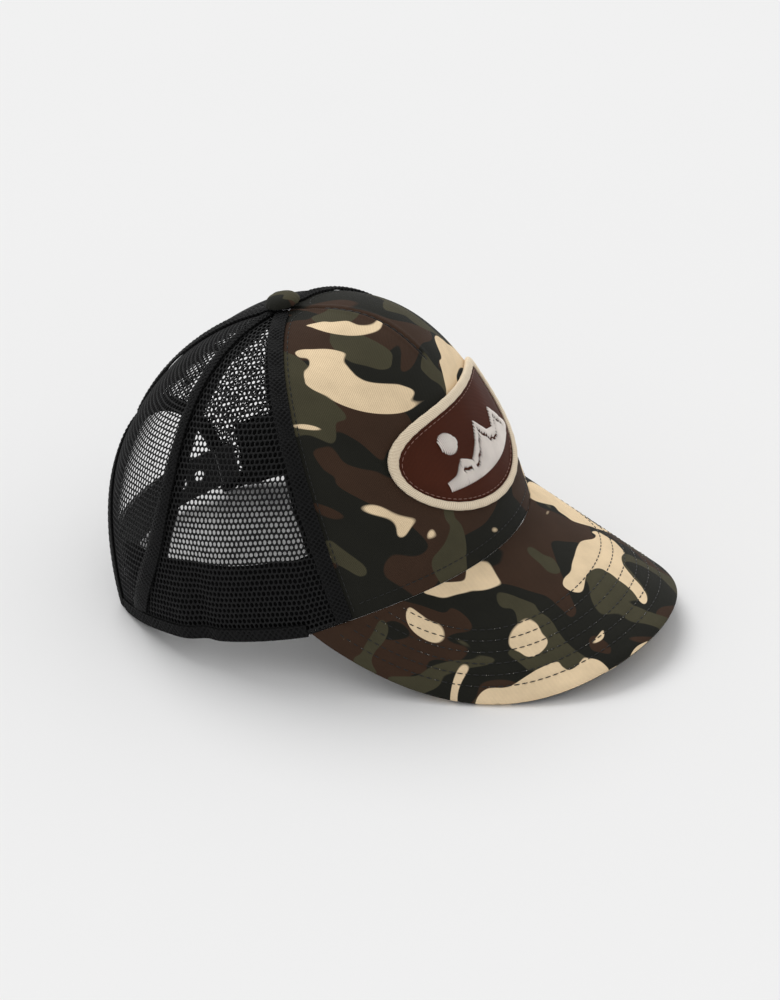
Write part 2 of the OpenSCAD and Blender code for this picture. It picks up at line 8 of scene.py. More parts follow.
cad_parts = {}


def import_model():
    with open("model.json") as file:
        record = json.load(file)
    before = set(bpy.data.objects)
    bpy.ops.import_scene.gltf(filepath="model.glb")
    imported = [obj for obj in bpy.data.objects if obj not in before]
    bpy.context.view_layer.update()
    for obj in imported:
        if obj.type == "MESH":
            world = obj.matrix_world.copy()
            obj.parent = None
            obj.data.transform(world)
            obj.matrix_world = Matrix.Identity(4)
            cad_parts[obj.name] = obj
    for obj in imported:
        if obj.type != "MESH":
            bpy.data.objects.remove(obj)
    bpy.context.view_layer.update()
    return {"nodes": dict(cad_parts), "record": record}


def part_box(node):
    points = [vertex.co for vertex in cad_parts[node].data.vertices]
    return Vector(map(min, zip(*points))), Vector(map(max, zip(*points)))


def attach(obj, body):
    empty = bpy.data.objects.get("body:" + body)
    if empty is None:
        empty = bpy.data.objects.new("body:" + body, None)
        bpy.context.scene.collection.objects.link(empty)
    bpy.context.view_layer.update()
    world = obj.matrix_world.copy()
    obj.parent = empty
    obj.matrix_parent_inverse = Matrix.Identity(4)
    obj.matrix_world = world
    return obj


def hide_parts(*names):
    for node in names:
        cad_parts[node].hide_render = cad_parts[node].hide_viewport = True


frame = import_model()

# The mesh cap is drawn here once more over its CAD frame, at cloth scale: knitted net with real
# holes, printed twill, stitches, a merrowed patch. Sizes below are in millimetres and angles in
# degrees, in the level cap's own axes: front towards -Y, wearer's right towards -X, as in the CAD.

MM = 0.001
random_numbers = np.random.default_rng(7)

# ---- Where the level cap stands in the row frame ----

mount = next(m for m in frame["record"]["mounts"] if m["name"] == "head_opening")
ORIGIN = np.array(mount["pos_m"], float)
UP = -np.array(mount["axis"], float)
ACROSS = np.array([1.0, 0.0, 0.0])
BACK = np.cross(UP, ACROSS)


def world(points):
    """Points of the level cap in mm, as points of the row frame in metres."""
    p = np.asarray(points, float) * MM
    return ORIGIN + p[..., :1] * ACROSS + p[..., 1:2] * BACK + p[..., 2:3] * UP


# ---- Driving sizes ----

BUTTON_RADIUS = 7.75
BUTTON_HEIGHT = 5.0
HALF_WIDTH = round(-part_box("mesh_side_right")[0].x / MM, 0)
HALF_LENGTH = 95.0
HEIGHT = 114.0
APEX_Y = -10.0
FRONT_ARCH = 6.0
VISOR_END = 71.0
VISOR_LENGTH = 75.0
VISOR_PITCH = 35.5
VISOR_BEND = 9.5
VISOR_CORNER = 5.5
OPENING_HALF_ANGLE = 38.0
OPENING_HEIGHT = 62.0
CORNER = 180 - OPENING_HALF_ANGLE
HOLE_RADIUS = 4.5
FRONT_SEAM = (61.5, 72.0)       # the front seam's angle at the bottom edge and at the button
SIDE_SEAM_LOW = 128.0           # the side seam's angle at the bottom edge
SIDE_SEAM_MIDDLE = 110.0        # and where it is furthest forward, at t = BEND_T
SIDE_SEAM_RETURN = 12.0
BEND_T = 0.42
BAND_THICKNESS = 1.4
PROFILES = {"front": (1.333, 0.27), "side": (2.13, 0.4575), "back": (2.15, 0.5975)}
LAYER_GAP = 0.25
SIDES = ((1, "right"), (-1, "left"))

# Outer face and thickness of each layer, from the crown's outer face.
TWILL = (0.0, 0.7)
LINING = (-0.95, 1.0)
TAPE = (-2.2, 0.5)
BACKING = (-2.95, 0.4)
FOAM = (-3.6, 1.2)
SWEATBAND = (-5.05, 0.8)
LABEL = (-6.1, 0.4)
SWEATBAND_HEIGHT = 33.0
HEM_HEIGHT = 5.0
FOLD_OUT = 1.05
FOLD_IN = -1.85
SEAM_BAND_WIDTH = 7.0
TAPE_WIDTH = 12.0
COVER_THICKNESS = 0.6
UNDER_COVER_OFF = -3.1
BOARD_EDGE = 4.0

PATCH_WIDTH = 106.0
PATCH_HEIGHT = 52.0
PATCH_MIDDLE = 42.0
BORDER_WIDTH = 4.0
BORDER_HEIGHT = 2.6


# ---- The crown's surface ----

def sin(a):
    return np.sin(np.radians(a))


def cos(a):
    return np.cos(np.radians(a))


def mix(low, high, f):
    return low + (high - low) * f


def smooth_step(low, high, x):
    f = np.clip((x - low) / (high - low), 0, 1)
    return f * f * (3 - 2 * f)


def bump(x, middle, width):
    return np.exp(-((x - middle) / width) ** 2)


def profile(a):
    """The two exponents of the crown's profile at angle a."""
    side = sin(a) ** 2
    at_front = cos(a) > 0
    return [
        mix(np.where(at_front, PROFILES["front"][k], PROFILES["back"][k]), PROFILES["side"][k], side)
        for k in (0, 1)
    ]


def edge_z(a):
    """Height of the crown's bottom edge, which rises under the middle of the front panel."""
    return FRONT_ARCH * np.maximum(0, 1 - (np.abs(a) / VISOR_END) ** 4)


def worn(a, z):
    """How far the cloth has settled in or out: a crease in the right side and slow waves."""
    side = smooth_step(68, 80, np.abs(a)) * (1 - smooth_step(126, 138, np.abs(a)))
    crease = -1.7 * bump(a, 101, 3.2) * (1 - smooth_step(8, 46, z))
    crease += 0.7 * bump(a, 108, 5) * (1 - smooth_step(8, 46, z))
    waves = 0.5 * np.sin(a * 0.21 + z * 0.05) + 0.35 * np.sin(a * 0.13 - z * 0.11)
    return side * (crease + waves * smooth_step(2, 20, z) * (1 - smooth_step(80, 105, z)))


def crown(a, t, off=0.0):
    """Points of the crown in mm: a is the angle from the front, t runs from edge to button."""
    a, t, off = np.broadcast_arrays(*(np.asarray(v, float) for v in (a, t, off)))
    rise_power, reach_power = profile(a)
    reach = np.clip(cos(90 * t), 0, 1) ** (2 * reach_power)
    rise = np.clip(sin(90 * t), 0, 1) ** (2 / rise_power)
    low = edge_z(a)
    height = low + (HEIGHT - low) * rise
    out = off + worn(a, height)
    x = -(HALF_WIDTH + out) * sin(a) * reach
    y = APEX_Y + (-(HALF_LENGTH + out) * cos(a) - APEX_Y) * reach
    z = low + (HEIGHT + off - low) * rise
    return np.stack([x, y, z], -1)


def t_at_height(a, z):
    rise_power = profile(a)[0]
    share = np.maximum(z, 0) / (HEIGHT - edge_z(a))
    return np.degrees(np.arcsin(np.clip(share ** (rise_power / 2), 0, 1))) / 90


def t_at_radius(a, radius):
    reach_power = profile(a)[1]
    return np.degrees(np.arccos((radius / HALF_WIDTH) ** (1 / (2 * reach_power)))) / 90


def height_at(a, t):
    rise_power = profile(a)[0]
    return (HEIGHT - edge_z(a)) * np.clip(sin(90 * t), 0, 1) ** (2 / rise_power)


def length(vectors):
    return np.linalg.norm(vectors, axis=-1)


def distances(path):
    """Distance of each point of a path from its start."""
    return np.concatenate([[0], np.cumsum(length(np.diff(path, axis=0)))])


def degree_length(a, t):
    """Length of one degree round the crown, in mm."""
    return length(crown(a + 0.5, t) - crown(a - 0.5, t))


def front_seam(t):
    return mix(*FRONT_SEAM, t)


def side_seam(t):
    low = mix(SIDE_SEAM_MIDDLE, SIDE_SEAM_LOW, (1 - np.minimum(t, BEND_T) / BEND_T) ** 2)
    return low + SIDE_SEAM_RETURN * (np.maximum(t - BEND_T, 0) / (1 - BEND_T)) ** 2


def opening_edge(u, grow=0.0):
    """Angle and height on the half-moon opening's edge, or grow mm outside it."""
    swing = 90 - 180 * u
    spread = OPENING_HALF_ANGLE + grow / degree_length(CORNER, 0)
    angle = 180 - spread * np.abs(sin(swing)) ** 0.9 * np.sign(sin(swing))
    return angle, (OPENING_HEIGHT + grow) * np.clip(cos(swing), 0, 1) ** 0.8


def opening_height(a):
    """Height of the opening's edge above the bottom at angle a, 0 where there is none."""
    share = np.clip(np.abs(180 - np.abs(a)) / OPENING_HALF_ANGLE, 0, 1)
    return OPENING_HEIGHT * np.sqrt(np.clip(1 - share ** (2 / 0.9), 0, 1)) ** 0.8


# ---- The visor's surface ----

def visor_root(a):
    return crown(a, 0, LAYER_GAP)


def visor_direction(a):
    slope = VISOR_PITCH + VISOR_BEND * sin(a) ** 2
    return np.stack([0 * slope, -cos(slope), -sin(slope)], -1)


def visor_end(inset):
    return VISOR_END - inset / degree_length(VISOR_END, 0)


def visor_reach(a, inset=0.0):
    """Distance from the crown to the visor's edge, or to a line inset mm inside it."""
    share = np.maximum(0, 1 - (np.abs(a) / visor_end(inset)) ** VISOR_CORNER)
    return (VISOR_LENGTH - inset) * np.sqrt(share)


def inside_rim(a, distance):
    """How far a point of the visor lies inside its outline."""
    share = np.maximum(0, 1 - (distance / VISOR_LENGTH) ** 2)
    end = VISOR_END * share ** (1 / VISOR_CORNER)
    sideways = (end - np.abs(a)) * degree_length(a, 0)
    return np.maximum(0, np.minimum(visor_reach(a) - distance, sideways))


def visor_normal(a):
    normal = np.cross(visor_root(a - 0.5) - visor_root(a + 0.5), -visor_direction(a))
    return normal / length(normal)[..., None]


def visor(a, distance, off=0.0):
    """Points of the visor in mm, at a distance from the crown."""
    a, distance, off = np.broadcast_arrays(*(np.asarray(v, float) for v in (a, distance, off)))
    forward = visor_direction(a) * distance[..., None]
    return visor_root(a) + forward + visor_normal(a) * off[..., None]


# ---- Building meshes ----

def make(name, points, faces, cloth_map=None, sharp=40):
    """A mesh object from points in mm. cloth_map gives each point's place on the flat cloth."""
    placed = world(points)
    first = np.array([f[:3] for f in faces])
    corners = placed[first]
    volume = np.einsum("ij,ij->i", corners[:, 0], np.cross(corners[:, 1], corners[:, 2])).sum()
    if len(faces[0]) == 4:
        rest = placed[np.array([[f[0], f[-2], f[-1]] for f in faces])]
        volume += np.einsum("ij,ij->i", rest[:, 0], np.cross(rest[:, 1], rest[:, 2])).sum()
    if volume < 0:
        faces = [f[::-1] for f in faces]
    mesh = bpy.data.meshes.new(name)
    mesh.from_pydata(placed.tolist(), [], faces)
    mesh.update()
    mesh.shade_smooth()
    mesh.set_sharp_from_angle(angle=math.radians(sharp))
    if cloth_map is not None:
        corner_points = np.zeros(len(mesh.loops), int)
        mesh.loops.foreach_get("vertex_index", corner_points)
        layer = mesh.uv_layers.new(name="cloth")
        layer.data.foreach_set("uv", (cloth_map[corner_points] * MM).ravel())
    piece = bpy.data.objects.new(name, mesh)
    bpy.context.scene.collection.objects.link(piece)
    return piece


def grid_quads(index, loop=False):
    """Quads over a grid of point numbers, joined end to end when it is a loop."""
    if loop:
        index = np.concatenate([index, index[:1]])
    quads = np.stack([index[:-1, :-1], index[:-1, 1:], index[1:, 1:], index[1:, :-1]], -1)
    return quads.reshape(-1, 4)


def shell(name, outer, inner, cloth_map, loop=False):
    """A closed sheet between two grids of points."""
    rows, columns = outer.shape[:2]
    top = np.arange(rows * columns).reshape(rows, columns)
    under = top + rows * columns
    parts = [grid_quads(top, loop), grid_quads(under, loop)[:, ::-1]]
    rims = [(top[:, 0], under[:, 0], 1), (top[:, -1], under[:, -1], -1)]
    if not loop:
        rims += [(top[0], under[0], -1), (top[-1], under[-1], 1)]
    for upper, lower, turn in rims:
        parts.append(grid_quads(np.stack([upper, lower], 1), loop)[:, ::turn])
    points = np.concatenate([outer.reshape(-1, 3), inner.reshape(-1, 3)])
    flat = np.concatenate([cloth_map.reshape(-1, 2)] * 2)
    return make(name, points, np.concatenate(parts).tolist(), flat)


def loft(name, rings, cloth_map=None, loop=False, sharp=40):
    """A solid through closed rings of points: rings x points x 3."""
    rows, sides = rings.shape[:2]
    index = np.arange(rows * sides).reshape(rows, sides)
    wrapped = np.concatenate([index, index[:, :1]], 1)
    faces = grid_quads(wrapped, loop).tolist()
    if not loop:
        faces += [index[0].tolist(), index[-1][::-1].tolist()]
    flat = None if cloth_map is None else cloth_map.reshape(-1, 2)
    return make(name, rings.reshape(-1, 3), faces, flat, sharp)


def flat_grid(points):
    """Each grid point's place on the flat cloth: mm along its row and up its column."""
    along = np.zeros(points.shape[:2])
    along[:, 1:] = np.cumsum(length(np.diff(points, axis=1)), 1)
    up = np.zeros(points.shape[:2])
    up[1:] = np.cumsum(length(np.diff(points, axis=0)), 0)
    return np.stack([along - along.mean(1, keepdims=True), up.mean(1)[:, None] + 0 * up], -1)


def cut_of(grid):
    """Width, length and area of the flat cut that a grid of points in mm was sewn from, in m."""
    width = length(np.diff(grid, axis=1)).sum(1).max() * MM
    long = length(np.diff(grid, axis=0)).sum(0).max() * MM
    a, b, c, d = grid[:-1, :-1], grid[:-1, 1:], grid[1:, 1:], grid[1:, :-1]
    area = (length(np.cross(b - a, c - a)) + length(np.cross(c - a, d - a))).sum() / 2
    return width, long, float(np.clip(area * MM * MM, 0.31 * width * long, width * long))


# ---- Threads ----

def thread_rings(path, normal, radius, sides=6):
    """Rings round a thread that follows path."""
    forward = np.gradient(path, axis=0)
    forward /= length(forward)[:, None]
    side = np.cross(forward, normal)
    side /= length(side)[:, None]
    lift = np.cross(side, forward)
    turn = np.linspace(0, 360, sides, endpoint=False)[None, :, None]
    radius = np.asarray(radius)[..., None, None]
    return path[:, None] + radius * (cos(turn) * side[:, None] + sin(turn) * lift[:, None])


def join_lofts(name, all_rings, sharp=60):
    """One object from many small closed lofts that have the same number of rings."""
    rows, sides = all_rings[0].shape[:2]
    index = np.arange(rows * sides).reshape(rows, sides)
    wrapped = np.concatenate([index, index[:, :1]], 1)
    quads = grid_quads(wrapped)
    faces = []
    for k in range(len(all_rings)):
        base = k * rows * sides
        faces += (quads + base).tolist()
        faces.append((index[0] + base).tolist())
        faces.append((index[-1][::-1] + base).tolist())
    points = np.concatenate([r.reshape(-1, 3) for r in all_rings])
    return make(name, points, faces, None, sharp)


STATIONS = np.linspace(0, 1, 6)


def stitches_on(path, normal, stitch=2.3, gap=0.7, radius=0.24):
    """Rings of the stitches along a path in mm: each dips into the cloth at both ends."""
    along = distances(path)
    found = []
    for start in np.arange(0.3, along[-1] - stitch, stitch + gap):
        at = start + STATIONS * stitch
        middle = np.stack([np.interp(at, along, path[:, k]) for k in range(3)], -1)
        out = np.stack([np.interp(at, along, normal[:, k]) for k in range(3)], -1)
        swell = np.sin(np.pi * STATIONS) ** 0.6
        middle = middle + out * (radius * (0.9 * swell - 0.35))[:, None]
        found.append(thread_rings(middle, out, radius * (0.5 + 0.5 * swell)))
    return found


def crown_row(a, t, off):
    """A row's path over the crown and the outward direction along it."""
    path = crown(a, t, off)
    out = crown(a, t, off + 1) - path
    return path, out / length(out)[:, None]


def visor_row(a, distance, off):
    return visor(a, distance, off), visor_normal(a)


# ---- Materials ----

class Look:
    """A material with its Principled shader, and short ways to add nodes to it."""

    def __init__(self, name, colour=(0.5, 0.5, 0.5), roughness=0.8, sheen=0.0, specular=0.5,
                 metallic=0.0):
        self.material = bpy.data.materials.new(name)
        self.material.use_nodes = True
        self.tree = self.material.node_tree
        self.shader = self.tree.nodes["Principled BSDF"]
        self.set("Base Color", (*colour, 1))
        self.set("Roughness", roughness)
        self.set("Sheen Weight", sheen)
        self.set("Specular IOR Level", specular)
        self.set("Metallic", metallic)
        self.material.diffuse_color = (*colour, 1)

    def set(self, socket, value):
        self.shader.inputs[socket].default_value = value

    def node(self, kind, inputs=(), **settings):
        """A node with its inputs set or linked, by name or number."""
        made = self.tree.nodes.new(kind)
        for key, value in settings.items():
            setattr(made, key, value)
        for key, value in dict(inputs).items():
            if isinstance(value, bpy.types.NodeSocket):
                self.tree.links.new(value, made.inputs[key])
            else:
                made.inputs[key].default_value = value
        return made

    def math(self, operation, a, b=0.0):
        return self.node("ShaderNodeMath", {0: a, 1: b}, operation=operation).outputs[0]

    def cloth(self):
        return self.node("ShaderNodeUVMap", uv_map="cloth").outputs[0]

    def space(self):
        return self.node("ShaderNodeTexCoord").outputs["Object"]

    def ranged(self, value, low, high, start=0.0, end=1.0):
        """value, with start to end stretched to run from low to high."""
        inputs = {"Value": value, "From Min": start, "From Max": end, "To Min": low,
                  "To Max": high}
        return self.node("ShaderNodeMapRange", inputs).outputs[0]

    def place(self, offset=(0, 0, 0), scale=(1, 1, 1), turn=0.0, source=None):
        """Coordinates on the flat cloth, in metres, turned, then scaled, then moved."""
        turned = self.node(
            "ShaderNodeVectorRotate",
            {"Vector": source or self.cloth(), "Angle": math.radians(turn)},
            rotation_type="Z_AXIS",
        ).outputs[0]
        mapping = {"Vector": turned, "Location": offset, "Scale": scale}
        return self.node("ShaderNodeMapping", mapping).outputs[0]

    def noise(self, place, scale, detail=2.0, roughness=0.5, distortion=0.0):
        inputs = {"Vector": place, "Scale": scale, "Detail": detail, "Roughness": roughness,
                  "Distortion": distortion}
        return self.node("ShaderNodeTexNoise", inputs).outputs["Fac"]

    def waves(self, place, pitch, distortion=0.0, detail=0.0):
        """Even bands across X, pitch metres apart."""
        inputs = {"Vector": place, "Scale": 0.31416 / pitch, "Distortion": distortion,
                  "Detail": detail}
        return self.node("ShaderNodeTexWave", inputs, bands_direction="X").outputs["Fac"]

    def above(self, value, limit, soft=0.004):
        """1 where value is over limit and 0 where it is under, with a narrow soft edge."""
        return self.ranged(value, 0.0, 1.0, limit - soft, limit + soft)

    def blend(self, share, low, high, mode="MIX"):
        made = self.tree.nodes.new("ShaderNodeMix")
        made.data_type = "RGBA"
        made.blend_type = mode
        for socket, value in zip((made.inputs[0], made.inputs[6], made.inputs[7]),
                                 (share, low, high)):
            if isinstance(value, bpy.types.NodeSocket):
                self.tree.links.new(value, socket)
            else:
                socket.default_value = (*value, 1) if isinstance(value, tuple) else value
        return made.outputs[2]

    def colour(self, socket):
        self.tree.links.new(socket, self.shader.inputs["Base Color"])

    def roughness_from(self, value, low, high):
        self.tree.links.new(self.ranged(value, low, high), self.shader.inputs["Roughness"])

    def bumps(self, *heights):
        """Bump from (height, strength, depth in metres) layers."""
        normal = None
        for height, strength, depth in heights:
            inputs = {"Height": height, "Strength": strength, "Distance": depth}
            if normal is not None:
                inputs["Normal"] = normal
            normal = self.node("ShaderNodeBump", inputs).outputs[0]
        self.tree.links.new(normal, self.shader.inputs["Normal"])


DARK = (0.0135, 0.0135, 0.0100)
BROWN = (0.0480, 0.0255, 0.0150)
OLIVE = (0.0640, 0.0580, 0.0330)
CREAM = (0.8900, 0.6950, 0.4500)


def tone(colour, share):
    """A lighter or darker tone of a colour."""
    return tuple(min(1.0, c * share) for c in colour)


def camo_twill(name, offset, turn=0.0, cream_limit=0.6):
    """Printed cotton twill: four flat colours in long blobs, over a diagonal weave with painted
    light and shade on its ribs.
    """
    look = Look(name, DARK, 0.86, sheen=0.03, specular=0.15)
    place = look.place(offset, turn=turn)
    brown = look.above(look.noise(place, 22, 1.2, 0.5, 0.9), 0.53)
    olive_place = look.place((offset[0] + 3.1, offset[1] - 2.2, 0), (1, 0.8, 1), turn)
    olive = look.above(look.noise(olive_place, 27, 0.8, 0.4, 1.1), 0.595)
    cream_place = look.place((offset[0] - 5.3, offset[1] + 4.7, 0), (1, 1.35, 1), turn + 18)
    cream = look.above(look.noise(cream_place, 19, 1.0, 0.45, 1.3), cream_limit)
    ink = look.blend(brown, DARK, BROWN)
    ink = look.blend(olive, ink, OLIVE)
    ink = look.blend(cream, ink, CREAM)
    fade = look.noise(look.place(), 60, 4, 0.6)
    weave = look.waves(look.place(turn=52), 0.00062, 0.5, 1)
    cross = look.waves(look.place(turn=-38), 0.00034, 0.8, 1)
    fibres = look.noise(look.place(), 2600, 3, 0.7)
    # Painted light and shade: the weave's ribs lighten and darken the print; fade gives uneven tone
    # to the print.
    rib_shade_and_tone = look.math("MULTIPLY", look.ranged(fade, 0.86, 1.1, 0.25, 0.75),
                      look.ranged(weave, 0.84, 1.1))
    grey = look.node("ShaderNodeCombineColor", {"Red": rib_shade_and_tone, "Green": rib_shade_and_tone, "Blue": rib_shade_and_tone})
    look.colour(look.blend(1.0, ink, grey.outputs[0], "MULTIPLY"))
    look.roughness_from(fibres, 0.78, 0.95)
    look.bumps((weave, 0.55, 0.00012), (cross, 0.3, 0.00006), (fibres, 0.3, 0.00005))
    return look.material


def knit_yarn(name, colour=(0.0065, 0.0065, 0.0068)):
    """Black polyester yarn: fine strands with small bright glints painted in as highlights."""
    look = Look(name, colour, 0.5, sheen=0.0, specular=0.22)
    place = look.space()
    strands = look.noise(place, 2400, 3, 0.65)
    uneven = look.noise(place, 300, 2, 0.5)
    # Painted highlights: small specks of the black yarn are painted 3.2 times lighter as glints.
    painted_glint = look.above(strands, 0.66, 0.05)
    look.colour(look.blend(painted_glint, colour, tone(colour, 3.2)))
    look.roughness_from(uneven, 0.4, 0.7)
    look.bumps((strands, 0.5, 0.00012), (uneven, 0.25, 0.0002))
    return look.material


def folded_net(name):
    """Net that is folded on itself: black cords that cross over holes darkened with painted shade.
    """
    look = Look(name, (0.006, 0.006, 0.006), 0.55, specular=0.12)
    cords = [look.waves(look.place(turn=turn), 0.0017, 0.8, 1) for turn in (50, -50)]
    cords = look.math("MAXIMUM", *cords)
    strands = look.noise(look.place(), 2400, 3, 0.65)
    # Painted shade: the holes between the cords are painted almost black, and the cords' tops a
    # little lighter.
    look.colour(look.blend(cords, (0.0004, 0.0004, 0.0004), (0.0085, 0.0085, 0.0088)))
    look.roughness_from(strands, 0.4, 0.75)
    look.bumps((cords, 0.9, 0.0006), (strands, 0.5, 0.00012))
    return look.material


def woven_tape(name, colour, pitch=0.0009, turn=45.0, roughness=0.8, sheen=0.0):
    """Plain coloured twill or tape, with its ribs at an angle and painted shade in their grooves."""
    look = Look(name, colour, roughness, sheen=sheen, specular=0.12)
    ribs = look.waves(look.place(turn=turn), pitch, 0.4, 1)
    cross = look.waves(look.place(turn=turn + 90), pitch * 0.6, 0.6, 1)
    fibres = look.noise(look.place(), 2200, 3, 0.7)
    wear = look.noise(look.place(), 90, 3, 0.55)
    # Painted shade: the ribs darken the colour in their grooves; wear gives uneven tone.
    rib_shade_and_tone = look.math("MULTIPLY", ribs, wear)
    look.colour(look.blend(rib_shade_and_tone, tone(colour, 0.7), tone(colour, 1.35)))
    look.roughness_from(fibres, roughness - 0.1, min(1.0, roughness + 0.1))
    look.bumps((ribs, 0.6, 0.00016), (cross, 0.35, 0.0001), (fibres, 0.3, 0.00006))
    return look.material


def satin_field(name):
    """Dark brown satin twill, with fine ribs, painted shade in their grooves and a soft lengthwise
    shine.
    """
    look = Look(name, (0.070, 0.018, 0.009), 0.6, sheen=0.0, specular=0.08)
    ribs = look.waves(look.place(turn=62), 0.00055, 0.3, 1)
    fibres = look.noise(look.place(scale=(1, 6, 1)), 900, 3, 0.6)
    cloudy = look.noise(look.place(), 45, 2, 0.5)
    # Painted shade: the ribs darken the satin's colour in their grooves; cloudy gives uneven tone.
    look.colour(look.blend(look.math("MULTIPLY", ribs, cloudy), (0.046, 0.0110, 0.0050),
                           (0.110, 0.0290, 0.0140)))
    look.roughness_from(fibres, 0.5, 0.7)
    look.bumps((ribs, 0.6, 0.00012), (fibres, 0.25, 0.00005))
    return look.material


WRAP_PITCH = 0.001


def embroidery_thread(name, colour, roughness=0.5, wraps=False):
    """Twisted rayon thread with a silky shine, loose or wrapped round an edge, with painted shade
    between the wraps.
    """
    look = Look(name, colour, roughness, sheen=0.1, specular=0.35)
    place = look.space()
    strands = look.noise(place, 1900, 3, 0.6)
    uneven = look.noise(place, 170, 2, 0.5)
    ink = look.blend(uneven, tone(colour, 0.82), tone(colour, 1.08))
    if wraps:
        # Painted shade: darker grooves between the wraps, WRAP_PITCH apart.
        ink = look.blend(look.waves(look.place(), WRAP_PITCH), tone(colour, 0.68), ink)
    look.colour(ink)
    look.roughness_from(strands, roughness - 0.12, roughness + 0.16)
    look.bumps((strands, 0.45, 0.00008))
    return look.material


def moulded_plastic(name, colour, roughness=0.45):
    """Moulded plastic with a fine spark grain and faint scuffs."""
    look = Look(name, colour, roughness, specular=0.45)
    place = look.space()
    grain = look.noise(place, 1500, 2, 0.6)
    scuffs = look.noise(place, 60, 5, 0.7)
    worn_spots = look.above(scuffs, 0.6, 0.08)
    look.colour(look.blend(worn_spots, colour, tuple(min(1.0, c * 1.5 + 0.004) for c in colour)))
    look.roughness_from(scuffs, roughness - 0.08, roughness + 0.18)
    look.bumps((grain, 0.25, 0.00006))
    return look.material


def aluminium(name):
    """Stamped aluminium with fine turning marks."""
    look = Look(name, (0.74, 0.74, 0.76), 0.34, metallic=1.0)
    place = look.space()
    marks = look.noise(place, 700, 4, 0.7)
    look.roughness_from(marks, 0.25, 0.45)
    look.bumps((marks, 0.12, 0.00004))
    return look.material


def foam(name):
    """Charcoal foam with open pores, darkened with painted shade."""
    look = Look(name, (0.06, 0.06, 0.062), 0.95, specular=0.1)
    pores = look.node("ShaderNodeTexVoronoi", {"Vector": look.place(), "Scale": 1600}).outputs[0]
    # Painted shade: the pores are painted darker than the foam round them.
    look.colour(look.blend(pores, (0.02, 0.02, 0.02), (0.09, 0.09, 0.092)))
    look.bumps((pores, 0.7, 0.0003))
    return look.material


def floor_paper(name):
    """Pale backdrop paper, almost even."""
    look = Look(name, (0.86, 0.86, 0.86), 0.95, specular=0.0)
    tooth = look.noise(look.space(), 6, 2, 0.5)
    look.colour(look.blend(tooth, (0.855, 0.855, 0.855), (0.865, 0.865, 0.865)))
    return look.material


MATERIALS = {
    "crown_print": camo_twill("crown_print", (0.4, 1.3, 0), cream_limit=0.58),
    "visor_print": camo_twill("visor_print", (2.9, 0.7, 0), turn=-14),
    "under_print": camo_twill("under_print", (6.2, 3.3, 0), turn=8),
    "button_print": camo_twill("button_print", (9.41, 5.2, 0)),
    "yarn": knit_yarn("black_knit_yarn"),
    "band_yarn": folded_net("black_folded_mesh"),
    "binding": woven_tape("black_binding_tape", (0.0070, 0.0070, 0.0073), 0.0008, 32),
    "tape": woven_tape("black_seam_tape", (0.013, 0.013, 0.0135), 0.0011, 45),
    "sweatband": woven_tape("black_sweatband_twill", (0.0095, 0.0095, 0.0095), 0.0009, 58,
                            0.9, 0.05),
    "backing": woven_tape("black_backing_cloth", (0.0075, 0.0075, 0.0078), 0.0013, 0, 0.9),
    "lining": woven_tape("black_buckram", (0.018, 0.018, 0.0185), 0.0014, 0, 0.85),
    "label": woven_tape("white_label_satin", (0.74, 0.74, 0.72), 0.0005, 0, 0.5, 0.3),
    "foam": foam("charcoal_foam"),
    "satin": satin_field("brown_satin"),
    "cream": embroidery_thread("cream_thread", (0.98, 0.81, 0.60), wraps=True),
    "white": embroidery_thread("off_white_thread", (0.93, 0.86, 0.80), 0.5),
    "brown_thread": embroidery_thread("brown_thread", (0.26, 0.13, 0.10), 0.5),
    "black_thread": embroidery_thread("black_thread", (0.0075, 0.0078, 0.0070), 0.5),
    "pale_fluff": embroidery_thread("pale_fibre", (0.55, 0.52, 0.46), 0.8),
    "strap": moulded_plastic("black_strap_plastic", (0.012, 0.012, 0.0125)),
    "board": moulded_plastic("white_board_plastic", (0.78, 0.78, 0.76), 0.5),
    "metal": aluminium("aluminium"),
}


def finish_piece(piece, material, nodes=()):
    """Gives a piece its material and slot, and lets it stand for its CAD nodes on the crown."""
    piece.data.materials.append(MATERIALS[material])
    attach(piece, "crown")
    if nodes:
        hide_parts(*nodes)
    return piece


def add_sheet(piece, cut, material, node):
    """Finishes a cloth piece. The size of its flat cut, cut, is not used."""
    finish_piece(piece, material, [node])
    width, long, area = cut


# ---- Sheets on the crown ----

def crown_sheet(name, edge, low, high, layer, columns, rows, cloth=None, detail=None):
    """A sheet of the crown, from -edge(t) to edge(t). low and high give t at its other edges."""
    f = np.linspace(0, 1, rows)[:, None]
    c = np.linspace(0, 1, columns)[None, :]
    t_low = low(mix(-edge(0.0), edge(0.0), c))
    t_high = high(mix(-edge(0.9), edge(0.9), c))
    t = mix(t_low, t_high, f)
    a = mix(-edge(t), edge(t), c)
    off, thickness = layer
    extra = 0 if detail is None else detail(a, t)
    outer = crown(a, t, off + extra)
    inner = crown(a, t, off - thickness + extra)
    flat = flat_grid(outer) if cloth is None else cloth(a, t, outer)
    return shell(name, outer, inner, flat), cut_of(outer)


DART_TIP = 0.62


def dart_wedge(t):
    """Half the width of the cloth that the dart takes away, in mm."""
    return 11 * np.clip((t - DART_TIP) / (1 - DART_TIP), 0, 1) ** 1.2


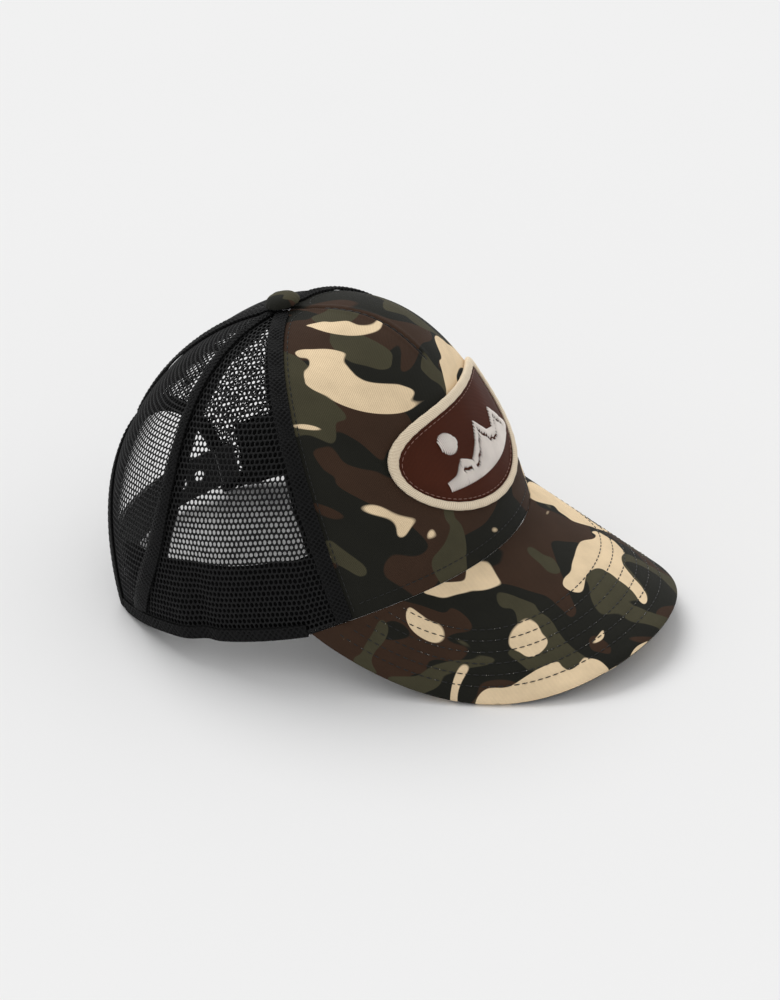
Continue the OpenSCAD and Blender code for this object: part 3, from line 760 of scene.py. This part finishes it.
def front_relief(a, t):
    """Groove and puckers of the dart's seam, and a slight dip along the topstitch."""
    across = a * degree_length(0.5, t)
    sewn = smooth_step(DART_TIP - 0.01, DART_TIP + 0.03, t)
    puckers = 1 + 0.35 * np.sin(t * 260) * bump(across, 0, 3)
    ridge = 0.30 * (bump(across, 2.0, 1.3) + bump(across, -2.0, 1.3)) * puckers
    groove = -0.7 * bump(across, 0, 0.7)
    stitch_a = front_seam(t) - 5 / degree_length(front_seam(t), t)
    dip = -0.16 * bump((np.abs(a) - stitch_a) * degree_length(front_seam(t), t), 0, 0.9)
    above_visor = height_at(a, t)
    dip = dip - 0.14 * bump(above_visor, 6, 0.9)
    return sewn * (ridge + groove) + dip


def front_cloth(a, t, outer):
    """Flat places on the front cloth, with the dart's wedge left out of the print."""
    flat = flat_grid(outer)
    side = np.where(a >= 0, 1.0, -1.0)
    flat[..., 0] = np.abs(flat[..., 0]) * -side - side * dart_wedge(t)
    return flat


def build_front():
    edge = lambda t: front_seam(t) - 0.2
    piece, cut = crown_sheet("front_twill", edge, lambda a: 0 * a,
                             lambda a: t_at_radius(a, HOLE_RADIUS), TWILL, 241, 150, front_cloth,
                             front_relief)
    add_sheet(piece, cut, "crown_print", "front_panel")
    inset = lambda t: front_seam(t) - 3
    piece, cut = crown_sheet("front_buckram", inset, lambda a: 0.01 + 0 * a,
                             lambda a: t_at_radius(a, HOLE_RADIUS + 3), LINING, 81, 50)
    add_sheet(piece, cut, "lining", "front_lining")


# ---- Knitted net ----

NET_ACROSS = 2.1
NET_UP = 2.5
NET_POINT = 0.36
NET_HOLE = (0.70, 0.93)
NET_TOP, NET_MIDDLE, NET_BOTTOM = -0.02, -0.36, -0.7
SIDE_NET_MIDDLE = 95.0
BACK_NET_MIDDLE = 150.0


def net_cell():
    """Twelve points round one cell of the net and twelve round its hole, in mm."""
    w, h, e = NET_ACROSS / 2, NET_UP / 2, NET_POINT
    corners = np.array([[0, h + e], [w, h - e], [w, -h + e], [0, -h - e], [-w, -h + e], [-w, h - e]])
    halfway = (corners + np.roll(corners, -1, 0)) / 2
    rim = np.stack([corners, halfway], 1).reshape(-1, 2)
    angle = np.arctan2(rim[:, 1] / h, rim[:, 0] / w)
    hole = np.stack([NET_HOLE[0] * np.cos(angle), NET_HOLE[1] * np.sin(angle)], -1)
    return rim, hole


def net_panel(name, side, anchor, inside):
    """A panel of knitted net: inside tells which places on the crown belong to it."""
    meridian_t = np.linspace(0, 1, 600)
    meridian = crown(anchor, meridian_t)
    climb = distances(meridian)
    rows = np.arange(int(climb[-1] / NET_UP))
    columns = np.arange(-60, 61)
    row, column = np.meshgrid(rows, columns, indexing="ij")
    x = (column + 0.5 * (row % 2)) * NET_ACROSS
    y = (row + 0.5) * NET_UP

    def on_crown(flat):
        t = np.interp(flat[..., 1], climb, meridian_t)
        return anchor + flat[..., 0] / np.maximum(degree_length(anchor, t), 0.02), t

    a, t = on_crown(np.stack([x, y], -1))
    kept = inside(a, t) & (np.abs(a - anchor) < 75)
    centres = np.stack([x[kept], y[kept]], -1)
    rim, hole = net_cell()
    rims = (centres[:, None] + rim).reshape(-1, 2)
    uneven = 1 + 0.07 * random_numbers.standard_normal((len(centres), 1, 2))
    closed_selvedge = np.where(centres[:, 1] < NET_UP, 0.12, 1.0)[:, None, None]
    holes = (centres[:, None] + hole * uneven * closed_selvedge).reshape(-1, 2)
    keys, first, number = np.unique(np.round(rims * 1000).astype(int), axis=0,
                                    return_index=True, return_inverse=True)
    number = number.reshape(-1, 12)
    shared = rims[first]
    count = len(keys)
    hole_number = 2 * count + np.arange(len(holes)).reshape(-1, 12)
    flat = np.concatenate([shared, shared, holes])
    offs = np.concatenate([np.full(count, NET_TOP), np.full(count, NET_BOTTOM),
                           np.full(len(holes), NET_MIDDLE)])
    a, t = on_crown(flat)
    points = crown(side * a, np.clip(t, 0, 1), offs)
    nxt = np.roll(number, -1, 1)
    hole_next = np.roll(hole_number, -1, 1)
    top = np.stack([number, nxt, hole_next, hole_number], -1).reshape(-1, 4)
    under = np.stack([number + count, hole_number, hole_next, nxt + count], -1).reshape(-1, 4)
    edges = np.stack([number, nxt], -1).reshape(-1, 2)
    sorted_edges = np.sort(edges, 1)
    _, index, uses = np.unique(sorted_edges, axis=0, return_inverse=True, return_counts=True)
    border = edges[uses[index.ravel()] == 1]
    rim_quads = np.stack([border[:, 1], border[:, 0], border[:, 0] + count,
                          border[:, 1] + count], -1)
    faces = np.concatenate([top, under, rim_quads]).tolist()
    piece = make(name, points, faces, flat, sharp=180)
    spans = (centres.max(0) - centres.min(0) + [NET_ACROSS, NET_UP]) * MM
    area = len(centres) * NET_ACROSS * NET_UP * MM * MM
    return piece, (float(spans[0]), float(spans[1]), float(max(area, 0.31 * spans[0] * spans[1])))


def build_net():
    def inside_side(a, t):
        near_top = t < t_at_radius(90, HOLE_RADIUS)
        return (a > front_seam(t) + 0.2) & (a < side_seam(t) - 0.2) & near_top

    def inside_back(a, t):
        above_opening = height_at(a, t) > opening_height(a) + 0.3
        near_top = t < t_at_radius(BACK_NET_MIDDLE, HOLE_RADIUS)
        return (a > side_seam(t) + 0.2) & (a < 179.6) & above_opening & near_top

    for side, word in SIDES:
        piece, cut = net_panel(f"side_net_{word}", side, SIDE_NET_MIDDLE, inside_side)
        add_sheet(piece, cut, "yarn", f"mesh_side_{word}")
        piece, cut = net_panel(f"back_net_{word}", side, BACK_NET_MIDDLE, inside_back)
        add_sheet(piece, cut, "yarn", f"mesh_back_{word}")


# ---- Seam bands, tapes, hem, binding ----

def band(name, seam, low, high, half_width, off, thickness, knit, columns=17, step=0.42):
    """A band along a seam. knit gives the height of its surface from along and across."""
    t = np.linspace(low, high, 400)
    path = crown(seam(t), t)
    along = distances(path)
    stations = np.linspace(0, along[-1], int(along[-1] / step))
    t = np.interp(stations, along, t)[:, None]
    a = seam(t)
    w = np.linspace(-1, 1, columns)[None, :]
    spread = np.minimum(half_width(t) / degree_length(a, t), 21)
    rounded = np.sqrt(1 - 0.85 * w * w)
    height = thickness * (0.35 + 0.65 * rounded) + knit(stations[:, None], w) * rounded
    outer = crown(a + w * spread, t, off - thickness + height)
    inner = crown(a + w * spread, t, off - thickness)
    return shell(name, outer, inner, flat_grid(outer)), cut_of(outer)


def folded_mesh(along, across):
    """Loops of a folded net, staggered from row to row."""
    wander = 0.25 * np.sin(along * 0.9)
    loops = np.cos(2 * np.pi * (along + wander) / NET_UP) * np.cos(across * 3.4 * np.pi)
    return 0.26 * loops - 0.15 * bump(np.abs(across), 0.8, 0.1)


def plain_tape(along, across):
    """Two shallow stitched furrows along a tape."""
    return -0.12 * (bump(np.abs(across), 0.62, 0.08)) + 0 * along


def on_side(seam, side):
    return lambda t: side * seam(t)


def constant(value):
    return lambda t: value + 0 * t


def build_seams():
    top = t_at_radius(90, HOLE_RADIUS)
    low_back = t_at_height(180, OPENING_HEIGHT + 6)
    even = constant(SEAM_BAND_WIDTH / 2)
    widening = lambda t: mix(5.2, 2.4, smooth_step(0, 0.55, t))
    bands = [
        (f"{place}_seam_{word}", on_side(seam, side), t_at_height(seam(0), lift), half_width)
        for place, seam, lift, half_width in (("front", front_seam, 1, even),
                                              ("side", side_seam, HEM_HEIGHT + 1.5, widening))
        for side, word in SIDES
    ]
    for name, seam, low, half_width in bands + [("back_seam", constant(180), low_back, even)]:
        piece, _ = band(name, seam, low, top, half_width, LAYER_GAP + BAND_THICKNESS,
                        BAND_THICKNESS, folded_mesh)
        finish_piece(piece, "band_yarn", [name.replace("seam", "seam_band")])
    tapes = [
        (f"{place}_tape_{word}", on_side(seam, side), t_at_height(seam(0), 2))
        for place, seam in (("front", front_seam), ("side", side_seam))
        for side, word in SIDES
    ]
    tapes += [("back_tape", constant(180), low_back),
              ("dart_tape", constant(0), t_at_height(0, HEIGHT * 0.8))]
    for node, seam, low in tapes:
        piece, cut = band(f"{node}_cloth", seam, low, t_at_radius(90, HOLE_RADIUS + 3),
                          constant(TAPE_WIDTH / 2), *TAPE, plain_tape, columns=13, step=1.5)
        add_sheet(piece, cut, "tape", node)


FACE_POINTS = 8


def fold_section(width):
    """(distance in from the edge, off) round a strip that is folded over an edge."""
    face = [(width * f, FOLD_OUT) for f in np.linspace(0.9, 0, FACE_POINTS)]
    outside = [(width, FOLD_OUT * 0.75), *face, (-0.6, FOLD_OUT * 0.8), (-1.0, -0.1), (-0.8, -1.1),
               (-0.3, FOLD_IN * 0.95), (width * 0.4, FOLD_IN), (width * 0.8, FOLD_IN),
               (width, FOLD_IN * 0.9)]
    inside = [(width, -1.05), (width * 0.5, -1.05), (-0.2, -1.0), (-0.25, 0.2),
              (width * 0.5, LAYER_GAP), (width, LAYER_GAP)]
    return np.array(outside + inside)


def folded_strip(name, width, count, place, knit):
    """A strip folded over an edge. place(i, w, off) gives points, i from 0 to 1 along it."""
    section = fold_section(width)
    along = np.linspace(0, 1, count)[:, None]
    path = place(along[:, 0], 0 * along[:, 0], 0 * along[:, 0])
    run = distances(path)[:, None]
    lift = np.zeros((count, len(section)))
    shown = slice(1, 1 + FACE_POINTS)
    lift[:, shown] = knit(run, section[None, shown, 0] / width)
    rings = place(along + 0 * section[None, :, 0], section[None, :, 0] + 0 * along,
                  section[None, :, 1] + lift)
    flat = np.stack(np.broadcast_arrays(run, np.linspace(0, 2 * width, len(section))[None]), -1)
    cut = (2 * (width + 1.5) * MM, float(run[-1, 0]) * MM)
    return loft(name, rings, flat, sharp=50), (*cut, cut[0] * cut[1])


def build_edges():
    hem_start = VISOR_END + 1.2 / degree_length(VISOR_END, 0)
    hem_end = CORNER - 6.7 / degree_length(CORNER, 0)

    def hem_knit(run, w):
        return 0.24 * np.cos(2 * np.pi * run / NET_ACROSS) * np.cos(w * 4 * np.pi) - 0.2

    for side, word in SIDES:
        def on_hem(i, w, off, side=side):
            a = side * mix(hem_start, hem_end, i)
            drop = np.minimum(w, 0)
            return crown(a, t_at_height(a, w), off) + np.stack([0 * drop, 0 * drop, drop], -1)

        piece, cut = folded_strip(f"hem_{word}", HEM_HEIGHT, 420, on_hem, hem_knit)
        add_sheet(piece, cut, "band_yarn", f"hem_band_{word}")

    def on_opening(i, w, off):
        a, z = opening_edge(i, w)
        return crown(a, t_at_height(a, z), off)

    def binding_knit(run, w):
        return -0.2 * bump(w, 0.8, 0.12) + 0.06 * np.sin(run * 2.2)

    piece, cut = folded_strip("opening_binding", 5.5, 300, on_opening, binding_knit)
    add_sheet(piece, cut, "binding", "arch_binding")


# ---- Sweatband and label ----

def build_sweatband():
    end = CORNER - 10 / degree_length(CORNER, 0)

    def layer(name, place, inset, detail=None):
        return crown_sheet(name, constant(end - inset), lambda a: t_at_height(a, 0.5 + inset),
                           lambda a: t_at_height(a, SWEATBAND_HEIGHT - inset), place, 281, 24,
                           detail=detail)

    def puffed(a, t):
        z = height_at(a, t)
        body = smooth_step(1, 7, z) * (1 - smooth_step(26, 31, z))
        return -0.5 * body - 0.1 * body * np.sin(a * 1.9)

    piece, cut = layer("sweatband_twill", SWEATBAND, 0, puffed)
    add_sheet(piece, cut, "sweatband", "sweatband_cloth")
    piece, cut = layer("sweatband_padding", FOAM, 1)
    finish_piece(piece, "foam", ["sweatband_foam"])
    piece, cut = layer("sweatband_back", BACKING, 0)
    add_sheet(piece, cut, "backing", "sweatband_backing")


def build_label():
    width, long = 22.0, 30.0
    centre = -100.0
    up = np.linspace(0, 1, 24)[:, None]
    across = np.linspace(-0.5, 0.5, 18)[None, :]
    a = centre + across * width / degree_length(centre, 0)
    t = t_at_height(a, 2 + up * long)
    curl = -1.4 * (1 - up) ** 3 * (0.5 + across) - 0.25 * np.sin(across * 5) * (1 - up)
    outer = crown(a, t, LABEL[0] + curl - 0.5)
    inner = crown(a, t, LABEL[0] - LABEL[1] + curl - 0.5)
    piece = shell("label_satin", outer, inner, flat_grid(outer))
    cut = (width * MM, long * MM, width * long * MM * MM)
    add_sheet(piece, cut, "label", "care_label")


# ---- Button ----

def build_button():
    base = HEIGHT + 1.9
    count, around = 26, 96
    f = np.linspace(0, 1, count)[:, None]
    turn = np.linspace(0, 360, around, endpoint=False)[None, :]
    gather = 0.16 * np.sin(np.radians(turn) * 14 + np.sin(np.radians(turn) * 3)) * (1 - f) ** 2
    r = BUTTON_RADIUS * cos(90 * f) ** 0.6 + gather - 0.05
    z = base + BUTTON_HEIGHT * (0.22 + 0.78 * sin(90 * f) ** 1.2)
    under_r = np.array([0.2, 5.2, 6.6])[:, None] + 0 * turn
    under_z = base + np.array([0.05, 0.0, 0.35])[:, None] + 0 * turn
    radius = np.concatenate([under_r, np.maximum(r, 0.02)])
    height = np.concatenate([under_z, z + 0 * turn])
    rings = np.stack([-radius * sin(turn), APEX_Y - radius * cos(turn), height], -1)
    flat = np.stack([radius * sin(turn), radius * cos(turn)], -1) * 1.15
    piece = loft("button_cover", rings, flat)
    finish_piece(piece, "button_print", ["top_button"])


# ---- Visor ----

def closing(distance):
    """Share of the way from the full thickness to the closed edge."""
    f = np.clip(1 - distance / BOARD_EDGE, 0, 1)
    return 1 - np.sqrt(1 - f * f)


VISOR_ROWS = [9.0, 15.0, 21.0, 27.0, 33.0, 39.0]


def visor_line(inset):
    """Angles and distances of the curve that runs inset mm inside the visor's edge."""
    a = visor_end(inset) * sin(np.linspace(-90, 90, 600))
    return a, visor_reach(a, inset)


def visor_dips(a, distance):
    """Shallow furrows where the rows of stitches pull the cloth down."""
    dip = 0
    for inset in VISOR_ROWS:
        reach = visor_reach(a, inset)
        dip = dip - 0.17 * bump(distance, reach, 0.9) * (reach > 0)
    return dip


def visor_cover(name, off, closing_off, outward):
    end = VISOR_END - 0.15
    a = end * sin(np.linspace(-90, 90, 301))[None, :]
    f = 1 - (1 - np.linspace(0, 1, 90)[:, None]) ** 1.6
    distance = f * visor_reach(a)
    shut = closing(inside_rim(a, distance))
    dips = visor_dips(a, distance) * outward * (1 - shut)
    level = mix(off, off + closing_off, shut) + dips
    outer = visor(a, distance, level)
    inner = visor(a, distance, level - COVER_THICKNESS)
    across = distances(visor_root(a[0]))
    across = (across - across[-1] / 2)[None, :] + 0 * distance
    flat = np.stack([-across * (1 + distance / 260), distance - 0.0045 * across ** 2], -1)
    return shell(name, outer, inner, flat), cut_of(outer)


def build_visor():
    middle = (UNDER_COVER_OFF - COVER_THICKNESS) / 2
    half_gap = LAYER_GAP / 2
    piece, cut = visor_cover("visor_top_twill", 0.0, middle + COVER_THICKNESS + half_gap, 1)
    add_sheet(piece, cut, "visor_print", "visor_top_cover")
    piece, cut = visor_cover("visor_under_twill", UNDER_COVER_OFF,
                             middle - UNDER_COVER_OFF - half_gap, -1)
    add_sheet(piece, cut, "under_print", "visor_under_cover")


# ---- Patch ----

PATCH_T = float(t_at_height(0.0, PATCH_MIDDLE))
PATCH_CLIMB = float(length(crown(0, PATCH_T + 0.01) - crown(0, PATCH_T - 0.01)) / 0.02)


def patch(across, up, off=0.0):
    """Points of the front in mm: across to the wearer's right and up from the patch's middle."""
    t = PATCH_T + up / PATCH_CLIMB
    return crown(across / degree_length(15, t), t, off)


def disc(x, y):
    return x * np.sqrt(1 - y * y / 2), y * np.sqrt(1 - x * x / 2)


def build_patch():
    v = np.linspace(-1, 1, 90)[:, None]
    u = np.linspace(-1, 1, 150)[None, :]
    x, y = disc(u + 0 * v, v + 0 * u)
    x = x * (PATCH_WIDTH / 2 - 2.5)
    y = y * (PATCH_HEIGHT / 2 - 2.5)
    outer = patch(x, y, 1.15 + 0.08 * np.sin(x * 0.31 + y * 0.12))
    inner = patch(x, y, LAYER_GAP)
    piece = shell("patch_satin_field", outer, inner, np.stack([x, y], -1))
    width, long = PATCH_WIDTH - 5, PATCH_HEIGHT - 5
    cut = (width * MM, long * MM, math.pi / 4 * width * long * MM * MM)
    add_sheet(piece, cut, "satin", "patch_field")


def build_border():
    """The merrowed edge: thread wrapped closely round the patch's rim."""
    wraps = 250
    count = wraps * 8
    turn = np.linspace(0, 360, count, endpoint=False)[:, None]
    section = np.array([(0.50, 0.12), (0.53, 0.45), (0.47, 0.75), (0.3, 0.95), (0.08, 1.02),
                        (-0.16, 1.0), (-0.36, 0.9), (-0.49, 0.72), (-0.53, 0.5), (-0.4, 0.42),
                        (0.0, 0.3), (0.3, 0.12)])
    w = section[None, :, 0]
    h = section[None, :, 1]
    phase = np.radians(turn) * wraps + w * 3.2
    ribs = 0.22 * np.abs(np.sin(phase / 2)) ** 0.7
    ribs = ribs + 0.05 * np.sin(np.radians(turn) * 41 + w * 4)
    swell = 1 + (ribs - 0.14) / 2
    across = (PATCH_WIDTH / 2 - BORDER_WIDTH / 2 + w * BORDER_WIDTH * swell) * cos(turn)
    up = (PATCH_HEIGHT / 2 - BORDER_WIDTH / 2 + w * BORDER_WIDTH * swell) * sin(turn)
    off = LAYER_GAP + BORDER_HEIGHT * h * swell
    wound = np.stack([phase / (2 * np.pi), h + 0 * phase], -1)
    piece = loft("patch_merrowed_edge", patch(across, up, off), wound, loop=True, sharp=180)
    finish_piece(piece, "cream", ["patch_border"])


RIDGE = [0.1, 0.45, 0.8, 0.5, 0.62, 1.0, 0.6, 0.35, 0.5, 0.2, 0.1]
EMBLEM_WIDTH = 62.0
EMBLEM_HEIGHT = 20.0
EMBLEM_BASE = -12.0
SUN_RADIUS = 5.0


def satin_stitch(across, low, high, radius=0.37):
    """One raised stitch between two heights on the patch."""
    f = np.linspace(0, 1, 9)
    up = mix(low, high, f)
    arch = 1.25 + 0.6 * np.sin(np.pi * f) ** 0.5
    path = patch(across + 0 * f, up, arch)
    out = patch(across + 0 * f, up, arch + 1) - path
    swell = radius * (0.55 + 0.45 * np.sin(np.pi * f) ** 0.4)
    return thread_rings(path, out / length(out)[:, None], swell, 5)


def build_emblem():
    """A mountain ridge and a sun in satin stitch, in place of the lettering."""
    found = []
    step = 0.9
    for x in np.arange(-EMBLEM_WIDTH / 2 + 0.5, EMBLEM_WIDTH / 2, step):
        place = (x / EMBLEM_WIDTH + 0.5) * (len(RIDGE) - 1)
        top = EMBLEM_BASE + 2 + EMBLEM_HEIGHT * np.interp(place, range(len(RIDGE)), RIDGE)
        ragged = 0.25 * random_numbers.random()
        snow = top - 3.4 - 1.2 * abs(math.sin(x * 0.8))
        if snow - EMBLEM_BASE > 6:
            found.append(satin_stitch(x, snow + 0.3, top + ragged))
            found.append(satin_stitch(x, EMBLEM_BASE, snow - 1.1))
        else:
            found.append(satin_stitch(x, EMBLEM_BASE, top + ragged))
    for x in np.arange(-SUN_RADIUS + 0.3, SUN_RADIUS, step):
        half = math.sqrt(SUN_RADIUS ** 2 - x * x)
        middle = EMBLEM_BASE + EMBLEM_HEIGHT
        found.append(satin_stitch(EMBLEM_WIDTH * 0.34 + x, middle - half, middle + half))
    piece = join_lofts("patch_embroidery", found)
    finish_piece(piece, "white", ["patch_emblem"])


# ---- Rows of stitches ----

def stitch_piece(name, rows, material="black_thread", slot="camo_twill", **sizes):
    found = [s for path, out in rows for s in stitches_on(path, out, **sizes)]
    return finish_piece(join_lofts(name, found), material)


def build_stitches():
    t = np.linspace(0.02, 0.985, 300)
    edge = front_seam(t) - 5 / degree_length(front_seam(t), t)
    edge = np.maximum(edge, 20)
    rows = [crown_row(side * edge, t, front_relief(edge, t)) for side in (1, -1)]
    stitch_piece("front_seam_stitches", rows)
    a = np.linspace(-58, 58, 400)
    t = t_at_height(a, 6)
    stitch_piece("visor_seam_stitches", [crown_row(a, t, front_relief(a, t))])
    t = np.linspace(DART_TIP, 0.97, 120)
    stitch_piece("dart_stitches", [crown_row(0 * t, t, -0.4)], stitch=3.4, gap=0.1, radius=0.3)
    rows = []
    for inset in VISOR_ROWS:
        a, distance = visor_line(inset)
        open_part = distance > 1.5
        a, distance = a[open_part], distance[open_part]
        rows.append(visor_row(a, distance, visor_dips(a, distance)))
    stitch_piece("visor_stitches", rows, stitch=2.6, gap=0.8)
    under = [(path - visor_normal_at * 3.75, -visor_normal_at) for path, visor_normal_at in rows]
    stitch_piece("visor_under_stitches", under, stitch=2.6, gap=0.8)
    turn = np.linspace(0, 360, 500)
    across = (PATCH_WIDTH / 2 - 5.6) * cos(turn)
    up = (PATCH_HEIGHT / 2 - 5.6) * sin(turn)
    path = patch(across, up, 1.25)
    out = patch(across, up, 2.25) - path
    stitch_piece("patch_stitches", [(path, out)], "brown_thread", "cream_thread", stitch=2.0,
                 gap=0.9, radius=0.2)
    u = np.linspace(0.01, 0.99, 400)
    a, z = opening_edge(u, 4.4)
    stitch_piece("binding_stitches", [crown_row(a, t_at_height(a, z), FOLD_OUT - 0.15)],
                 slot="black_tape", stitch=2.2)
    a = np.linspace(-132, 132, 900)
    path, out = crown_row(a, t_at_height(a, SWEATBAND_HEIGHT - 2), SWEATBAND[0] - SWEATBAND[1])
    stitch_piece("sweatband_stitches", [(path, -out)], slot="sweatband")
    fluff = []
    for path, out in rows:
        picks = random_numbers.choice(len(path), 26, replace=False)
        for k in picks:
            grain = path[k] + out[k] * np.linspace(0.05, 0.5, 4)[:, None]
            lean = random_numbers.standard_normal(3) * 0.12
            grain = grain + lean * np.linspace(0, 1, 4)[:, None]
            fluff.append(thread_rings(grain, np.cross(out[k], [0.3, 0.5, 0.8]) + 0 * grain,
                                      np.array([0.07, 0.14, 0.13, 0.04]), 5))
    finish_piece(join_lofts("needle_fluff", fluff), "pale_fluff")


# ---- CAD parts that stay ----

def dress(node, material):
    """A CAD part keeps its shape and takes a better material."""
    piece = frame["nodes"][node]
    if piece.material_slots:
        for holder in piece.material_slots:
            holder.material = MATERIALS[material]
    else:
        piece.data.materials.append(MATERIALS[material])


def build_hard_parts():
    for node in ("strap_tab_right", "strap_tab_left", "strap_holes", "strap_studs"):
        dress(node, "strap")
    dress("visor_board", "board")
    dress("button_rivet", "metal")


# ---- Studio ----

VIEW_AZIMUTH = -66.5
VIEW_ELEVATION = 30.1
VIEW_ROLL = -0.95
VIEW_DISTANCE = 1.9
PICTURE_MM = 439.4      # what the picture's long side spans at the cap, in mm
AIM_RIGHT = 0.02915
AIM_UP = 0.0191


def build_studio():
    scene = bpy.context.scene
    side = 12.0
    corners = [(-side, -side, 0), (side, -side, 0), (side, side, 0), (-side, side, 0)]
    mesh = bpy.data.meshes.new("floor")
    mesh.from_pydata(corners, [], [(0, 1, 2, 3)])
    floor = bpy.data.objects.new("floor", mesh)
    floor.data.materials.append(floor_paper("floor_paper"))
    scene.collection.objects.link(floor)

    world_light = bpy.data.worlds.new("studio")
    world_light.use_nodes = True
    background = world_light.node_tree.nodes["Background"]
    background.inputs["Color"].default_value = (1, 1, 1, 1)
    background.inputs["Strength"].default_value = 0.69
    scene.world = world_light
    sun = bpy.data.lights.new("key", "SUN")
    sun.energy = 1.28
    sun.angle = math.radians(38)
    key = bpy.data.objects.new("key", sun)
    key.rotation_mode = "QUATERNION"
    key.rotation_quaternion = Vector((0.45, 0.55, 1.0)).to_track_quat("Z", "Y")
    scene.collection.objects.link(key)

    azimuth, elevation = VIEW_AZIMUTH, VIEW_ELEVATION
    back = np.array([sin(azimuth) * cos(elevation), -cos(azimuth) * cos(elevation),
                     sin(elevation)])
    right = np.cross([0, 0, 1], back)
    right /= length(right)
    up = np.cross(back, right)
    right, up = (cos(VIEW_ROLL) * right + sin(VIEW_ROLL) * up,
                 cos(VIEW_ROLL) * up - sin(VIEW_ROLL) * right)
    camera = bpy.data.objects.new("camera", bpy.data.cameras.new("camera"))
    camera.data.lens = camera.data.sensor_width * VIEW_DISTANCE / MM / PICTURE_MM
    camera.data.clip_end = 40
    place = ORIGIN + AIM_RIGHT * right + AIM_UP * up + VIEW_DISTANCE * back
    turn = Matrix([right, up, back]).transposed().to_4x4()
    camera.matrix_world = Matrix.Translation(Vector(place)) @ turn
    scene.collection.objects.link(camera)
    scene.camera = camera
    scene.view_settings.view_transform = "Standard"


build_front()
build_seams()
build_net()
build_edges()
build_sweatband()
build_label()
build_button()
build_visor()
build_patch()
build_border()
build_emblem()
build_stitches()
build_hard_parts()
build_studio()
